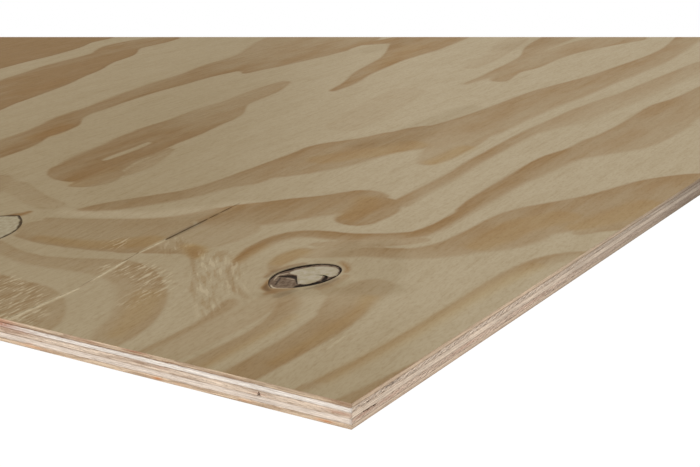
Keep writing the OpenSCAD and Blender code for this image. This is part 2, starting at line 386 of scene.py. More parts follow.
# Golden stains in the latewood, as strokes of the same kind
GOLD = {
    "thread": (0.5, [(20, 29, 3), (100, 24, 4), (200, 22, 5), (265, 17, 6)]),
    "under_knot": (0.7, [(25, 68, 2), (60, 67.5, 3.5), (100, 69, 3.5), (125, 72, 3), (150, 79, 4)]),
    "to_nose": (0.6, [(-10, 97.5, 1.5), (30, 98, 1.5), (72, 98.6, 1.5), (96, 101, 1.5)]),
    "column": (0.5, [(15, 172, 5), (40, 181, 7), (62, 191, 9), (82, 202, 9)]),
    "knot_cap": (0.7, [(178, 168, 4), (192, 170, 6), (208, 169, 6)]),
    "outer_arc": (0.6, [(168, 194, 3), (183, 198, 4), (205, 200, 4)]),
    "inner_arc": (0.6, [(285, 70, 9), (310, 68, 12), (345, 66, 14), (385, 50, 14)]),
    "inner_end": (0.6, [(365, 30, 8), (400, 18, 11), (450, 8, 13)]),
    "hook_left": (0.7, [(139, 345, 5), (142, 318, 7), (150, 296, 9), (166, 281, 11), (178, 276, 8)]),
    "hook_low": (0.6, [(300, 186, 7), (330, 190, 9), (350, 200, 9)]),
    "hook_spot": (1.0, [(160, 224, 2), (167, 229, 5), (175, 236, 7), (178, 243, 5)]),
    "hook_dark": (0.9, [(165, 274, 5), (176, 278, 6)]),
    "toe": (0.7, [(480, 214, 6), (505, 213, 6), (545, 214, 7)]),
    "broad": (0.6, [(440, 300, 12), (490, 275, 14), (530, 262, 14)]),
    "island": (0.35, [(270, 425, 10), (290, 436, 14), (320, 436, 8)]),
    "upper": (0.8, [(372, 570, 8), (400, 572, 9), (425, 580, 8)]),
    "wedge": (0.35, [(820, 480, 5), (870, 490, 8), (930, 502, 11), (990, 514, 12)]),
    "far": (0.35, [(520, 718, 9), (560, 728, 9), (600, 742, 9)]),
}
FAR_AWAY = 60.0
BLEND_REACH = 5.0
SOFT_SIDE = 3.0


def smooth_line(points, pieces=6):
    """A curve through the points: each stretch is the cubic that also looks at the point
    before it and the point after it, so that the curve has no corner."""
    knots = np.array(points, float)
    padded = np.vstack([2 * knots[0] - knots[1], knots, 2 * knots[-1] - knots[-2]])
    t = np.arange(pieces)[None, :, None] / pieces
    before, start, end, after = (padded[i:len(padded) - 3 + i, None, :] for i in range(4))
    cubic = (2 * start + (end - before) * t + (2 * before - 5 * start + 4 * end - after) * t ** 2
             + (3 * start - before - 3 * end + after) * t ** 3) / 2
    return np.vstack([cubic.reshape(-1, 3), knots[-1]])


def stroke_values(along, across, strokes):
    """How far each place is inside a stroke, in millimetres, and how deep its colour is
    there. A stroke's own value is its half width less the distance to its middle line; the
    largest value of all the strokes counts, and the depths mix where strokes run together.
    The lean of a place is its signed distance from the middle line over the half width. On
    the side that a stroke fades to, its values are shrunk too, which makes its border soft:
    late wood ends crisply where the next year's growth starts, and begins gradually."""
    place = np.stack([along, across], axis=-1)
    inside = np.full(len(place), -FAR_AWAY)
    weight = np.full(len(place), 1e-9)
    depth = np.zeros(len(place))
    for shade, points, *more in strokes.values():
        fade = more[0] if more else 0.0
        line = smooth_line(points)
        reach = line[:, 2].max() + FAR_AWAY
        low, high = line[:, :2].min(axis=0) - reach, line[:, :2].max(axis=0) + reach
        near = np.flatnonzero(np.all((place > low) & (place < high), axis=1))
        own = np.full(len(near), -FAR_AWAY)
        lean = np.zeros(len(near))
        for (a0, b0, w0), (a1, b1, w1) in zip(line[:-1], line[1:]):
            run = np.array([a1 - a0, b1 - b0])
            offset = place[near] - [a0, b0]
            share = np.clip(offset @ run / (run @ run), 0, 1)
            half = np.maximum(w0 + (w1 - w0) * share, 0.1)
            value = half - np.hypot(*(offset - share[:, None] * run).T)
            side = (run[0] * offset[:, 1] - run[1] * offset[:, 0]) / math.hypot(*run) / half
            lean = np.where(value > own, side, lean)
            own = np.maximum(own, value)
        pull = np.exp(np.clip(own, -FAR_AWAY, 8) / BLEND_REACH)
        faded = abs(fade) * np.clip(0.5 + 0.5 * lean * np.sign(fade), 0, 1)
        weight[near] += pull
        depth[near] += pull * shade * (1 - faded)
        inside[near] = np.maximum(inside[near], own / (1 + SOFT_SIDE * faded))
    return inside, depth / weight


print(len(STROKES), "strokes,", sum(len(smooth_line(s[1])) for s in STROKES.values()), "points")

# %% [markdown]
# Only a wedge of the sheet is known. Past it the figure has to go on in the same manner:
# tall arches that follow one another across the sheet. Rings of a log, cut almost along
# their own surface, are the level lines of a slowly waving field, so that is what is
# computed, and each line gets the same kind of value as a stroke has.

# %% The figure past the known wedge
RING_SPACING = 96.0
RING_SHARE = 0.2
LEAST_SLOPE = 0.3
# Rise of a wave, how fast it turns along and across the sheet, and where it starts
RING_WAVES = [(78, 640, 230, 0.4), (52, 390, -150, 1.9), (21, 240, 74, 0.7)]


def ring_height(along, across):
    """The distance across the sheet plus long waves, which close some of the level lines
    into islands and leave the others as arches and tongues."""
    return across + sum(rise * np.sin(along / far + across / wide + start)
                        for rise, far, wide, start in RING_WAVES)


def wild_latewood(along, across):
    """Distance into the nearest band of rings: the band's half width less the height above
    its middle, divided by how steeply the height rises there."""
    nudge = 2.0
    height = ring_height(along, across)
    slope = np.hypot(ring_height(along + nudge, across) - height,
                     ring_height(along, across + nudge) - height) / nudge
    off_middle = np.abs((height / RING_SPACING) % 1 - 0.5) * RING_SPACING
    half = RING_SPACING * (RING_SHARE + 0.05 * np.sin(along / 310 + across / 190))
    return np.clip((half - off_middle) / np.maximum(slope, LEAST_SLOPE), -FAR_AWAY, FAR_AWAY)


print("rings every", RING_SPACING, "mm past the wedge")

# %% [markdown]
# The strokes cover a wedge of the sheet, which widens away from the near corner. Past its
# three sides they give way to the waving rings little by little, over a hand's breadth, so
# that no line shows where the one ends and the other begins.

# %% The wedge that the strokes cover
WEDGE_FADE = 110.0
LEFT_SIDE = {"start": 252, "slope": 0.965}
RIGHT_SIDE = {"start": 552, "slope": 0.351}
FAR_SIDE = {"along": 775, "across": 1000, "facing": (630, 385)}


def known_wedge(along, across):
    """One inside the wedge that the strokes cover, falling to zero past its three sides.
    A side's value is the distance to its line, counted upwards on the wedge's side."""
    left = LEFT_SIDE["start"] + LEFT_SIDE["slope"] * along - across
    right = across - RIGHT_SIDE["slope"] * (along - RIGHT_SIDE["start"])
    facing = FAR_SIDE["facing"]
    far = facing[0] * (FAR_SIDE["along"] - along) + facing[1] * (FAR_SIDE["across"] - across)
    sides = [left / math.hypot(1, LEFT_SIDE["slope"]), right / math.hypot(1, RIGHT_SIDE["slope"]),
             far / math.hypot(*facing)]
    return ease(np.minimum.reduce(sides), -WEDGE_FADE, 0)


def figure(along, across):
    """The strokes inside the wedge and the waving rings past it, mixed at its sides."""
    drawn, depth = stroke_values(along, across, STROKES)
    known = known_wedge(along, across)
    wild = wild_latewood(along, across)
    wild_depth = 0.7 + 0.2 * np.sin(along / 270 + across / 110)
    return drawn * known + wild * (1 - known), depth * known + wild_depth * (1 - known)


print("strokes and rings mix over", WEDGE_FADE, "mm")

# %% [markdown]
# A knot is the foot of a branch, and on peeled veneer it shows as a lens: two pairs of
# arcs that meet in points. The same outline is needed three times: for the hole in the
# face, for the knot and for its filler. So it is one function of an angle.

# %% Knot outlines
KNOT = {"along": 166.0, "across": 138.0, "nose": 33.5, "tail": 31.5, "half": 19.0, "turn": -8.0,
        "round": 0.9}
TIGHT = {"along": 118.0, "across": 400.8, "nose": 44.0, "tail": 56.5, "half": 31.6, "turn": 0.0,
         "round": 0.0}


def lens_point(knot, angle, inset=0.0):
    """A point of the outline, from the middle of the knot's widest section. Each quarter is
    one arc: the angle says which quarter, and how far along the arc from the knot's point.
    A share of an ellipse, round * (reach cos angle, half sin angle), blunts the tail."""
    angle = (angle + math.pi) % (2 * math.pi) - math.pi
    to_tail = np.abs(angle) <= math.pi / 2
    reach = np.where(to_tail, knot["tail"], knot["nose"]) - inset
    half = knot["half"] - inset
    radius = (reach ** 2 + half ** 2) / (2 * half)
    from_point = np.where(to_tail, np.abs(angle), math.pi - np.abs(angle)) / (math.pi / 2)
    swing = np.arcsin(reach / radius) * (1 - from_point)
    x = np.where(to_tail, 1, -1) * radius * np.sin(swing)
    y = np.sign(angle) * (half - radius + radius * np.cos(swing))
    blunt = np.where(to_tail, knot["round"], 0.0)
    return (x + blunt * (reach * np.cos(angle) - x), y + blunt * (half * np.sin(angle) - y))


def turned(knot, x, y):
    """A point given along and across the knot's own axis, as a place on the sheet."""
    turn = math.radians(knot["turn"])
    along = knot["along"] + x * math.cos(turn) - y * math.sin(turn)
    across = knot["across"] + x * math.sin(turn) + y * math.cos(turn)
    return along, across


tip = turned(KNOT, *lens_point(KNOT, np.array([math.pi])))
print("the barked knot's point is at", [round(float(part[0]), 1) for part in tip])

# %% [markdown]
# The face is one grid of quads. Its lines stand close where there is most to see and far
# apart where there is least. A line stands on every border that the grid has to follow: the
# sides and middles of a box round each knot, and both sides of a row of cells for the split.

# %% Lines of the face grid
SPLIT_MIDDLE = 262.0
SPLIT_ROW = 1.2
SPLIT_SIDE = 6.4
SPLIT = {"across": 245.0, "filled": 183.0, "open": 107.0, "mouth": 3.4, "end": 0.7}
split_end = SPLIT["filled"] + SPLIT["open"]
split_stops = np.array([0.0, 68.0, 150.0, split_end])
split_slopes = np.tan(np.radians([2.6, 10.8, 6.2]))
split_places = SPLIT["across"] + np.append(0, np.cumsum(split_slopes * np.diff(split_stops)))
BOX_SHARE = 0.88
FINE_STEP = {"along": 1.6, "across": 1.45}
FINE_REACH = {"along": (120, 216), "across": (108, 170)}
PLAIN_STEP = 3.9
PLAIN_REACH = {"along": 480, "across": 470}
COARSENING = {"along": 95, "across": 80}
ALONG_STOPS = (0.0, 340.0, 480.0)
ACROSS_STOPS = (0.0, 60.0, 105.0, 175.0, 215.0, 320.0)
knot_box = {name: (BOX_SHARE * (k["nose"] + k["tail"]) / 2, BOX_SHARE * k["half"])
            for name, k in (("barked", KNOT), ("tight", TIGHT))}


def spaced_lines(marks, spacing):
    """Lines from the first mark to the last, with one on every mark. Between two marks they
    stand as far apart as the spacing asks half way, rounded so that they fit."""
    stretches = []
    for low, high in zip(marks[:-1], marks[1:]):
        count = max(1, round((high - low) / spacing((low + high) / 2)))
        stretches.append(np.linspace(low, high, count, endpoint=False))
    return np.append(np.concatenate(stretches), marks[-1])


def graded_marks(start, end, first, growth):
    """Marks whose distances grow by a fixed factor, the last one moved onto the end."""
    gaps = first * growth ** np.arange(200)
    marks = start + np.cumsum(gaps)
    return [start, *marks[marks < end - first], end]


def around(knot, box, axis):
    """Marks on both sides of the box round a knot and on its middle."""
    middle = knot[("along", "across")[axis]]
    return [middle - box[axis], middle, middle + box[axis]]


def grid_step(axis, place, fine):
    """A fine step where there is most to see and a plain one elsewhere, which grows evenly
    past the reach of the strokes near the camera."""
    if fine:
        return FINE_STEP[axis]
    return PLAIN_STEP + max(0.0, place - PLAIN_REACH[axis]) / COARSENING[axis]


def along_spacing(place):
    """The step between lines that follow one another along the sheet."""
    low, high = FINE_REACH["along"]
    return grid_step("along", place, low < place < high)


def across_spacing(place):
    """The step between lines that follow one another across the sheet."""
    low, high = FINE_REACH["across"]
    near_split = SPLIT_ROW < abs(place - SPLIT_MIDDLE) < SPLIT_SIDE
    return grid_step("across", place, low < place < high or near_split)


along_marks = sorted({*ALONG_STOPS, SPLIT_ROW, *split_stops[1:].tolist(),
                      *around(KNOT, knot_box["barked"], 0), *around(TIGHT, knot_box["tight"], 0),
                      *graded_marks(520.0, float(length), 60.0, 1.12)})
across_marks = sorted({*ACROSS_STOPS, *around(KNOT, knot_box["barked"], 1),
                       *(SPLIT_MIDDLE + side * part for side in (-1, 1) for part in (SPLIT_ROW, SPLIT_SIDE)),
                       *around(TIGHT, knot_box["tight"], 1),
                       *graded_marks(475.0, float(width), 50.0, 1.12)})
along_lines = spaced_lines(along_marks, along_spacing)
across_lines = spaced_lines(across_marks, across_spacing)
print(len(along_lines), "by", len(across_lines), "lines,",
      2 * (len(along_lines) - 1) * (len(across_lines) - 1), "triangles on the face")

# %% [markdown]
# Next the grid is bent. A box of lines is pressed onto each knot's outline, and the push
# fades with the distance, as in a stretched cloth. One row of cells slides onto the line of
# the split. The cells inside are later left out, which cuts clean holes with no boolean
# operation.


# %% Bend the grid round the knots and along the split
SLIDE_REACH = 58.0


def box_norm(knot, box, along, across):
    """One on the box round the knot, less inside it and more outside it."""
    x = (along - knot["along"]) / box[0]
    y = (across - knot["across"]) / box[1]
    return x, y, np.maximum(np.abs(x), np.abs(y))


def bend_round(knot, box, along, across, fade=2.3):
    """Moves the box onto the knot's outline. Inside, the box shrinks evenly to its middle;
    outside, the move fades to nothing at a few times the box's size."""
    x, y, norm = box_norm(knot, box, along, across)
    on_box = np.maximum(norm, 1e-6)
    target = turned(knot, *lens_point(knot, np.arctan2(y, x)))
    share = np.where(norm < 1, norm, 1 - ease(norm, 1.0, fade))
    along_move = target[0] - knot["along"] - x / on_box * box[0]
    across_move = target[1] - knot["across"] - y / on_box * box[1]
    return along + along_move * share, across + across_move * share


def split_line(along):
    """The split's middle line: three straight stretches, the middle one the steepest."""
    return np.interp(along, split_stops, split_places)


def split_half(along):
    """Half the split's width: it narrows evenly from the short edge to its end."""
    share = np.clip(along / split_end, 0, 1)
    return (SPLIT["mouth"] + (SPLIT["end"] - SPLIT["mouth"]) * share) / 2


def bend_to_split(along, across):
    """Slides the middle row onto the line of the split and sets its width. The slide fades
    to both sides, and the row runs back to its own place past the split's end."""
    offset = across - SPLIT_MIDDLE
    line = split_line(along) - SPLIT_MIDDLE
    back = 1 - ease(along, split_end + 4, split_end + 60)
    share = 1 - ease(np.abs(offset), SPLIT_ROW, SLIDE_REACH)
    edge = np.sign(offset) * (split_half(along) - SPLIT_ROW)
    narrow = np.where(np.abs(offset) <= SPLIT_ROW + 1e-6, edge, edge * share)
    return across + (line * share + narrow) * back


grid_along, grid_across = np.meshgrid(along_lines, across_lines, indexing="ij")
face_along, face_across = bend_round(KNOT, knot_box["barked"], grid_along, grid_across)
face_along, face_across = bend_round(TIGHT, knot_box["tight"], face_along, face_across, 1.9)
face_across = bend_to_split(face_along, face_across)
step_along, step_across = np.diff(face_along, axis=0), np.diff(face_across, axis=1)
print("smallest steps after bending", step_along.min().round(2), step_across.min().round(2))

# %% [markdown]
# Small marks tell a real sheet from a printed one: grain that the knife tore, resin, dark
# stains, painted shade along the open split, filler smeared beside the split, and painted
# shade and painted light where more or less light falls. They are strokes too, with a depth
# and a few points each, and only their material differs.

# %% Torn grain, resin, stains and smears
TORN = {
    "corner": (0.9, [(0, 236, 14), (25, 262, 18), (45, 290, 18), (45, 310, 16)]),
    "column": (1.0, [(92, 205, 8), (108, 222, 13), (117, 240, 13), (113, 258, 8)]),
    "foot": (0.7, [(62, 203, 6), (80, 205, 8), (100, 208, 10)]),
    "spot": (0.8, [(150, 289, 5), (165, 294, 6)]),
    "low": (0.5, [(60, 56, 3), (75, 55, 4), (88, 55, 3)]),
}
STEEP = {
    "diagonal": (0.9, [(78, 152, 6), (100, 170, 8), (122, 188, 10), (150, 204, 11), (172, 217, 10)]),
    "plume": (0.7, [(118, 160, 6), (140, 180, 9), (160, 190, 7)]),
    "split": (0.8, [(160, 246, 5), (176, 253, 7), (188, 258, 5)]),
    "low": (0.5, [(70, 148, 5), (88, 156, 6)]),
}
AMBER = {
    "nose": (1.0, [(127, 136, 1.5), (128.5, 141, 2.6), (131.5, 146, 2.6), (137, 149, 1.4),
        (146, 153.4, 0.4)]),
    "behind the tight knot": (1.0, [(164, 406, 1.6), (171, 404, 2.6), (178, 402, 2.4), (186, 400, 1.4)]),
    "nose_low": (0.45, [(122, 139, 1.5), (130, 138, 3.5), (134, 134.5, 2.5), (139, 130.5, 1.5)]),
    "hook": (0.3, [(162, 226, 2), (169, 231, 4), (176, 238, 5)]),
    "tail": (0.8, [(186, 118.5, 1), (193.5, 121.5, 1.6), (200, 127.5, 1.9), (203, 133, 1.2)]),
    "below": (0.35, [(148, 116, 2), (162, 114, 3), (180, 115, 2)]),
    "above": (0.5, [(150, 158.5, 1), (164, 160.5, 2), (178, 157.5, 1.5), (188, 152.5, 1)]),
}
STAINS_AND_SPLIT_SHADE = {
    # Dark stains, and painted shade along the open split and its dashes, where the crack lies in shade
    "open split": (0.55, [(181, 267.1, 0.9), (192, 268.3, 1.9), (208, 270, 2.1), (226, 272, 2),
        (239, 273.4, 0.9)]),
    "first dash": (0.4, [(246, 274.2, 0.6), (251, 274.7, 1.4), (256, 275.2, 0.6)]),
    "second dash": (0.4, [(263, 276, 0.6), (270, 276.8, 1.2), (276, 277.4, 0.6)]),
    "behind the tight knot": (0.6, [(158, 409, 1.4), (166, 406.5, 2.2), (174, 404, 1.4)]),
    "round the barked knot": (0.4, [(148, 157, 0.8), (162, 159.2, 1.8), (176, 157, 1.4), (188, 152, 1.2)]),
    "under the barked knot": (0.45, [(143, 122.5, 1), (156, 117.8, 2), (172, 116.6, 1.6)]),
    "nose": (0.3, [(122, 130, 3), (129, 129, 3), (137, 127, 2)]),
    "resin at the nose": (0.65, [(128, 141.5, 1.2), (130.5, 144.5, 1.9), (134, 147, 1.5),
        (139, 149, 0.7)]),
}
SMEAR = {
    "first": (0.65, [(-4, 244.8, 2.4), (24, 246.1, 2.4), (50, 247.3, 2.2), (65, 248, 1.6)]),
    "thin": (0.25, [(68, 248.1, 1.5), (86, 251.8, 1.3)]),
    "second": (0.6, [(88, 252, 1.4), (104, 255.1, 2.2), (124, 258.9, 1.5)]),
    "third": (0.6, [(151, 263.9, 1.4), (166, 265.5, 2.2), (183, 267.3, 1.5)]),
}
# Veils of painted shade and painted light: a depth above zero darkens, and one below zero lightens
VEIL = {
    "lit strip": (-0.45, [(200, 372, 7), (212, 345, 9), (226, 317, 9), (245, 302, 9), (270, 285, 8),
        (293, 272, 7)]),
    "at the cut": (0.3, [(930, 545, 12), (980, 545, 14), (1030, 548, 14)]),
    "far right": (0.25, [(1040, 415, 20), (1100, 395, 25), (1160, 375, 25)]),
    "over the tail": (0.45, [(197, 147, 5), (207, 138, 8), (222, 141, 10), (242, 147, 8)]),
    "below the knot": (0.5, [(120, 139, 4), (128, 131, 6), (138, 122, 8), (149, 113, 10), (159, 104, 13),
        (166, 90, 15), (172, 80, 13)]),
    "on the broad band": (0.4, [(505, 302, 12), (520, 290, 18), (545, 280, 18), (620, 290, 14),
        (700, 288, 10)]),
    "past the tail": (0.4, [(186, 92, 13), (203, 106, 19), (226, 118, 19), (250, 126, 13)]),
}
print(len(TORN) + len(STEEP), "torn places,", len(AMBER) + len(STAINS_AND_SPLIT_SHADE), "stains,", len(VEIL), "veils")

# %% [markdown]
# What the nodes need to know is measured once for each point of the grid and kept on the
# mesh as attributes: how far the point is inside the latewood, how torn the surface is
# there, and where the point lies in the flow of the fibres. Fibres run nearly straight,
# a few degrees off the sheet's own length, and part to pass a knot as water parts round
# a stone. The split follows them, which is how their slope could be told.

# %% Fibres, painted shade and the values of the face's points
FIBRE_DRIFT = 90.0
FIBRE_EASE = 700.0
KNOT_PUSH = {"share": 0.8, "along": 1.9, "turn": 9, "across": 55}
# Painted shade darkens the face to the left of the view and in the corner; painted light lifts it in the
# near part and the far part
SHADE_SIDE = {"slope": 0.6, "start": -90, "end": 230}
FAR_SIDE_LIGHT = {"share": 0.2, "start": 480, "end": 800}
NEAR_LIGHT = {"share": 0.5, "across": 150, "radius": 210}
CORNER_SHADE = {"share": 0.42, "across": 0, "radius": 115}


def fibre_place(along, across):
    """Distance along the fibres, and the number of the fibre: how far across it would be if
    it ran straight. The drift eases off along the sheet, and a knot pushes fibres aside."""
    fibre = across - FIBRE_DRIFT * (1 - np.exp(-along / FIBRE_EASE))
    for knot in (KNOT, TIGHT):
        x = (along - knot["along"]) / (KNOT_PUSH["along"] * knot["nose"])
        y = across - knot["across"]
        push = KNOT_PUSH["share"] * knot["half"] * np.tanh(y / KNOT_PUSH["turn"])
        fibre = fibre - push * np.exp(-x * x - np.abs(y) / KNOT_PUSH["across"])
    return as_vector(along, fibre)


def soft(along, across, strokes, start, end):
    """Zero outside the strokes and their own depth inside, with a soft border."""
    inside, depth = stroke_values(along, across, strokes)
    return ease(inside, start, end) * depth


def round_patch(along, across, patch):
    """A bell of one at the patch's place on the short edge, falling off with the distance."""
    return np.exp(-(along ** 2 + (across - patch["across"]) ** 2) / patch["radius"] ** 2)


def painted_light_and_shade(along, across):
    """Painted shade: the sheet's colour is darker and warmer to the left of the view, where less
    light falls, least so in the near part and in the far one, a little in the very corner, and
    wherever the veils of painted shade and painted light lie."""
    left = ease(across - SHADE_SIDE["slope"] * along, SHADE_SIDE["start"], SHADE_SIDE["end"])
    near = NEAR_LIGHT["share"] * round_patch(along, across, NEAR_LIGHT)
    far = FAR_SIDE_LIGHT["share"] * ease(across, FAR_SIDE_LIGHT["start"], FAR_SIDE_LIGHT["end"])
    corner = CORNER_SHADE["share"] * round_patch(along, across, CORNER_SHADE)
    veils = soft(along, across, VEIL, -8, 6)
    return np.clip(left * (1 - near - far) + corner + veils, 0, 1)


face_a, face_b = face_along.ravel(), face_across.ravel()
inside, depth = figure(face_a, face_b)
face_values = {
    "late": inside, "depth": depth, "gold": soft(face_a, face_b, GOLD, -6, 4),
    "torn": soft(face_a, face_b, TORN, -8, 5), "steep": soft(face_a, face_b, STEEP, -7, 5),
    "amber": soft(face_a, face_b, AMBER, -2.4, 1.3), "stain_and_split_shade": soft(face_a, face_b, STAINS_AND_SPLIT_SHADE, -2.0, 1.4),
    "smear": soft(face_a, face_b, SMEAR, -1.0, 1.2), "painted_shade": painted_light_and_shade(face_a, face_b),
    "fibre": fibre_place(face_a, face_b),
}
print("latewood covers", round(float((inside > 0).mean()), 2), "of the grid points")

# %% [markdown]
# A closed surface is put together from patches: the grid on top, the walls round it, the
# cups of the knots. The class below collects points, faces and their places on the UV
# map, and turns them into one mesh. The map is laid out so that every face has room on it
# and a texture baked from the material stays sharp.


# %% A collector for patches
class Shell:
    """Points with their attributes, and faces with their corners on the UV map."""

    def __init__(self):
        self.points, self.values, self.faces, self.corners, self.finishes = [], [], [], [], []
        self.count = 0

    def put(self, points, values):
        """Adds points in millimetres and answers with their numbers."""
        self.points.append(points)
        self.values.append(values)
        self.count += len(points)
        return np.arange(self.count - len(points), self.count)

    def skin(self, faces, corners, finish=0):
        """Adds faces of one kind of finish; corners has a place on the map for each point."""
        self.faces.extend(faces.tolist())
        self.corners.append(np.asarray(corners, float).reshape(-1, 2))
        self.finishes.append(np.full(len(faces), finish))

    def finish(self, name, materials, node, slot, smooth=False):
        """Makes the object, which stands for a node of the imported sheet."""
        mesh = bpy.data.meshes.new(name)
        mesh.from_pydata(np.concatenate(self.points).tolist(), [], self.faces)
        mesh.uv_layers.new(name="OFBake").data.foreach_set("uv", np.concatenate(self.corners).ravel())
        for key in self.values[0]:
            data = np.concatenate([block[key] for block in self.values])
            kind, field = ("FLOAT_VECTOR", "vector") if data.ndim == 2 else ("FLOAT", "value")
            made = mesh.attributes.new(key, kind, "POINT")
            made.data.foreach_set(field, data.astype(np.float32).ravel())
        for material in materials:
            mesh.materials.append(material)
        mesh.polygons.foreach_set("material_index", np.concatenate(self.finishes).astype(np.int32))
        mesh.polygons.foreach_set("use_smooth", np.full(len(mesh.polygons), smooth))
        mesh.validate()
        piece = bpy.data.objects.new(name, mesh)
        bpy.context.scene.collection.objects.link(piece)
        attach(piece, "root")
        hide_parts(node)
        print(name, len(mesh.vertices), "points,", sum(len(f) - 2 for f in self.faces), "triangles")
        return piece


def ring_faces(low, high):
    """Four-cornered faces between two closed rings of point numbers."""
    return np.stack([low, np.roll(low, -1), np.roll(high, -1), high], axis=-1)


def map_cells(start, end, low, high):
    """Places on the map for a row of four-cornered faces, from start to end, low to high."""
    low, high = low + 0 * start, high + 0 * start
    pairs = ((start, low), (end, low), (end, high), (start, high))
    return np.stack([np.stack(pair, -1) for pair in pairs], axis=-2)


print("patches can be put together")

# %% [markdown]
# Every ply shows its edge all round the sheet. An edge is a strip: columns of points stand
# side by side along the outline, and rows of points climb from the ply's floor to its
# roof. The glue lines between plies wave a little, and both neighbours follow the same
# wave.


# %% The outline of the sheet and its waving glue lines
class Outline:
    """Columns round the sheet, from the near corner along X, across Y and back again."""

    def __init__(self, along_lines, across_lines):
        nx, ny = len(along_lines), len(across_lines)
        low, high = np.zeros(nx - 1), np.full(nx - 1, width)
        left, right = np.zeros(ny - 1), np.full(ny - 1, length)
        self.nx, self.ny = nx, ny
        self.along = np.concatenate([along_lines[:-1], right, along_lines[:0:-1], left])
        self.across = np.concatenate([low, across_lines[:-1], high, across_lines[:0:-1]])
        gaps = np.hypot(np.roll(self.along, -1) - self.along, np.roll(self.across, -1) - self.across)
        self.run = np.cumsum(gaps) - gaps
        self.gaps = gaps
        at_end = np.isclose(self.along, 0) | np.isclose(self.along, length)
        at_side = np.isclose(self.across, 0) | np.isclose(self.across, width)
        self.inward = np.stack([at_end * np.sign(length / 2 - self.along),
                                at_side * np.sign(width / 2 - self.across)], axis=-1)
        self.short_edge = at_end & ~at_side
        self.corner = at_end & at_side

    def opposite(self, step):
        """The number of the column straight across the sheet from one on the near side."""
        return 2 * (self.nx - 1) + (self.ny - 1) - step


def waves(run, seed, longest=260.0):
    """A smooth wave between about -1 and 1: the mean of five sines whose lengths and starts
    come from the seed."""
    draw = np.random.default_rng(seed)
    lengths = longest * draw.uniform(0.12, 1.0, 5)
    starts = draw.uniform(0, 2 * math.pi, 5)
    return np.mean([np.sin(2 * math.pi * run / reach + start)
                    for reach, start in zip(lengths, starts)], axis=0)


GLUE_WAVE = 0.22
GLUE_STAIN = 0.6


def glue_height(name, run, roof):
    """Height of a ply's floor or roof along the edge, level at the sheet's own surfaces."""
    height = ply_roof[name] if roof else ply_floor[name]
    if height < 0.01 or height > top - 0.01:
        return np.full(len(run), height)
    return height + GLUE_WAVE * waves(run, round(height * 10))


print("glue lines wave by", GLUE_WAVE, "mm")

# %% [markdown]
# A ply is closed by walls all round and by a cover above and below. The outline is many
# times longer than the map is wide, so it is cut into equal strips that are stacked on the
# map, and the texture stays as sharp along a wall as it is up it.


# %% Walls and covers
# Shares of the map's width, and of a strip's pitch in height
STRIP_LEFT, STRIP_WIDE = 0.01, 0.93
STRIP_FOOT, STRIP_TALL = 0.08, 0.8
MAP_EDGE = 0.002


def strip_map(outline, strips, low, high):
    """Where each column's two sides lie on the UV map: the outline is cut into equal
    strips, which are stacked between two heights of the map."""
    total = outline.gaps.sum() / strips
    number = np.floor((outline.run + outline.gaps / 2) / total).astype(int)
    start = STRIP_LEFT + STRIP_WIDE * (outline.run - number * total) / total
    end = start + STRIP_WIDE * outline.gaps / total
    pitch = (high - low) / strips
    floor = low + number * pitch + STRIP_FOOT * pitch
    return start.clip(MAP_EDGE), end.clip(max=1 - MAP_EDGE), floor, floor + STRIP_TALL * pitch


def wall(shell, outline, rings, strips, low, high, finish=0):
    """Faces between the rings of point numbers, lowest ring first, all round the sheet."""
    start, end, floor, roof = strip_map(outline, strips, low, high)
    for number, (below, above) in enumerate(zip(rings[:-1], rings[1:])):
        v0 = floor + (roof - floor) * number / (len(rings) - 1)
        v1 = floor + (roof - floor) * (number + 1) / (len(rings) - 1)
        shell.skin(ring_faces(below, above), map_cells(start, end, v0, v1), finish)


def cover(shell, outline, ring, up, low, high, finish=0):
    """Closes a ring with long strips from side to side, and a fan at each end. It lies
    against the next ply, out of sight, so it needs no more faces than that."""
    nx, ny = outline.nx, outline.ny
    near, far = ring[:nx], ring[outline.opposite(np.arange(nx))]
    right = ring[nx - 1:nx + ny - 1]
    left = np.append(ring[2 * (nx - 1) + ny - 1:], ring[0])
    long_strips = np.stack([near[1:-2], near[2:-1], far[2:-1], far[1:-2]], axis=-1)
    ends = [(near[1], far[1], left[0]), *((near[1], a, b) for a, b in zip(left[:-1], left[1:])),
            *((near[-2], a, b) for a, b in zip(right[:-1], right[1:])),
            (near[-2], right[-1], far[-2])]
    places = np.concatenate([outline.along[:, None] / length, outline.across[:, None] / width], 1)
    places = [0.01, low] + places * [0.98, high - low]
    at = dict(zip(ring.tolist(), places))
    for faces in (long_strips, np.array(ends)):
        faces = faces if up else faces[:, ::-1]
        corners = np.array([[at[point] for point in face] for face in faces.tolist()])
        shell.skin(faces, corners, finish)


print("walls and covers ready")
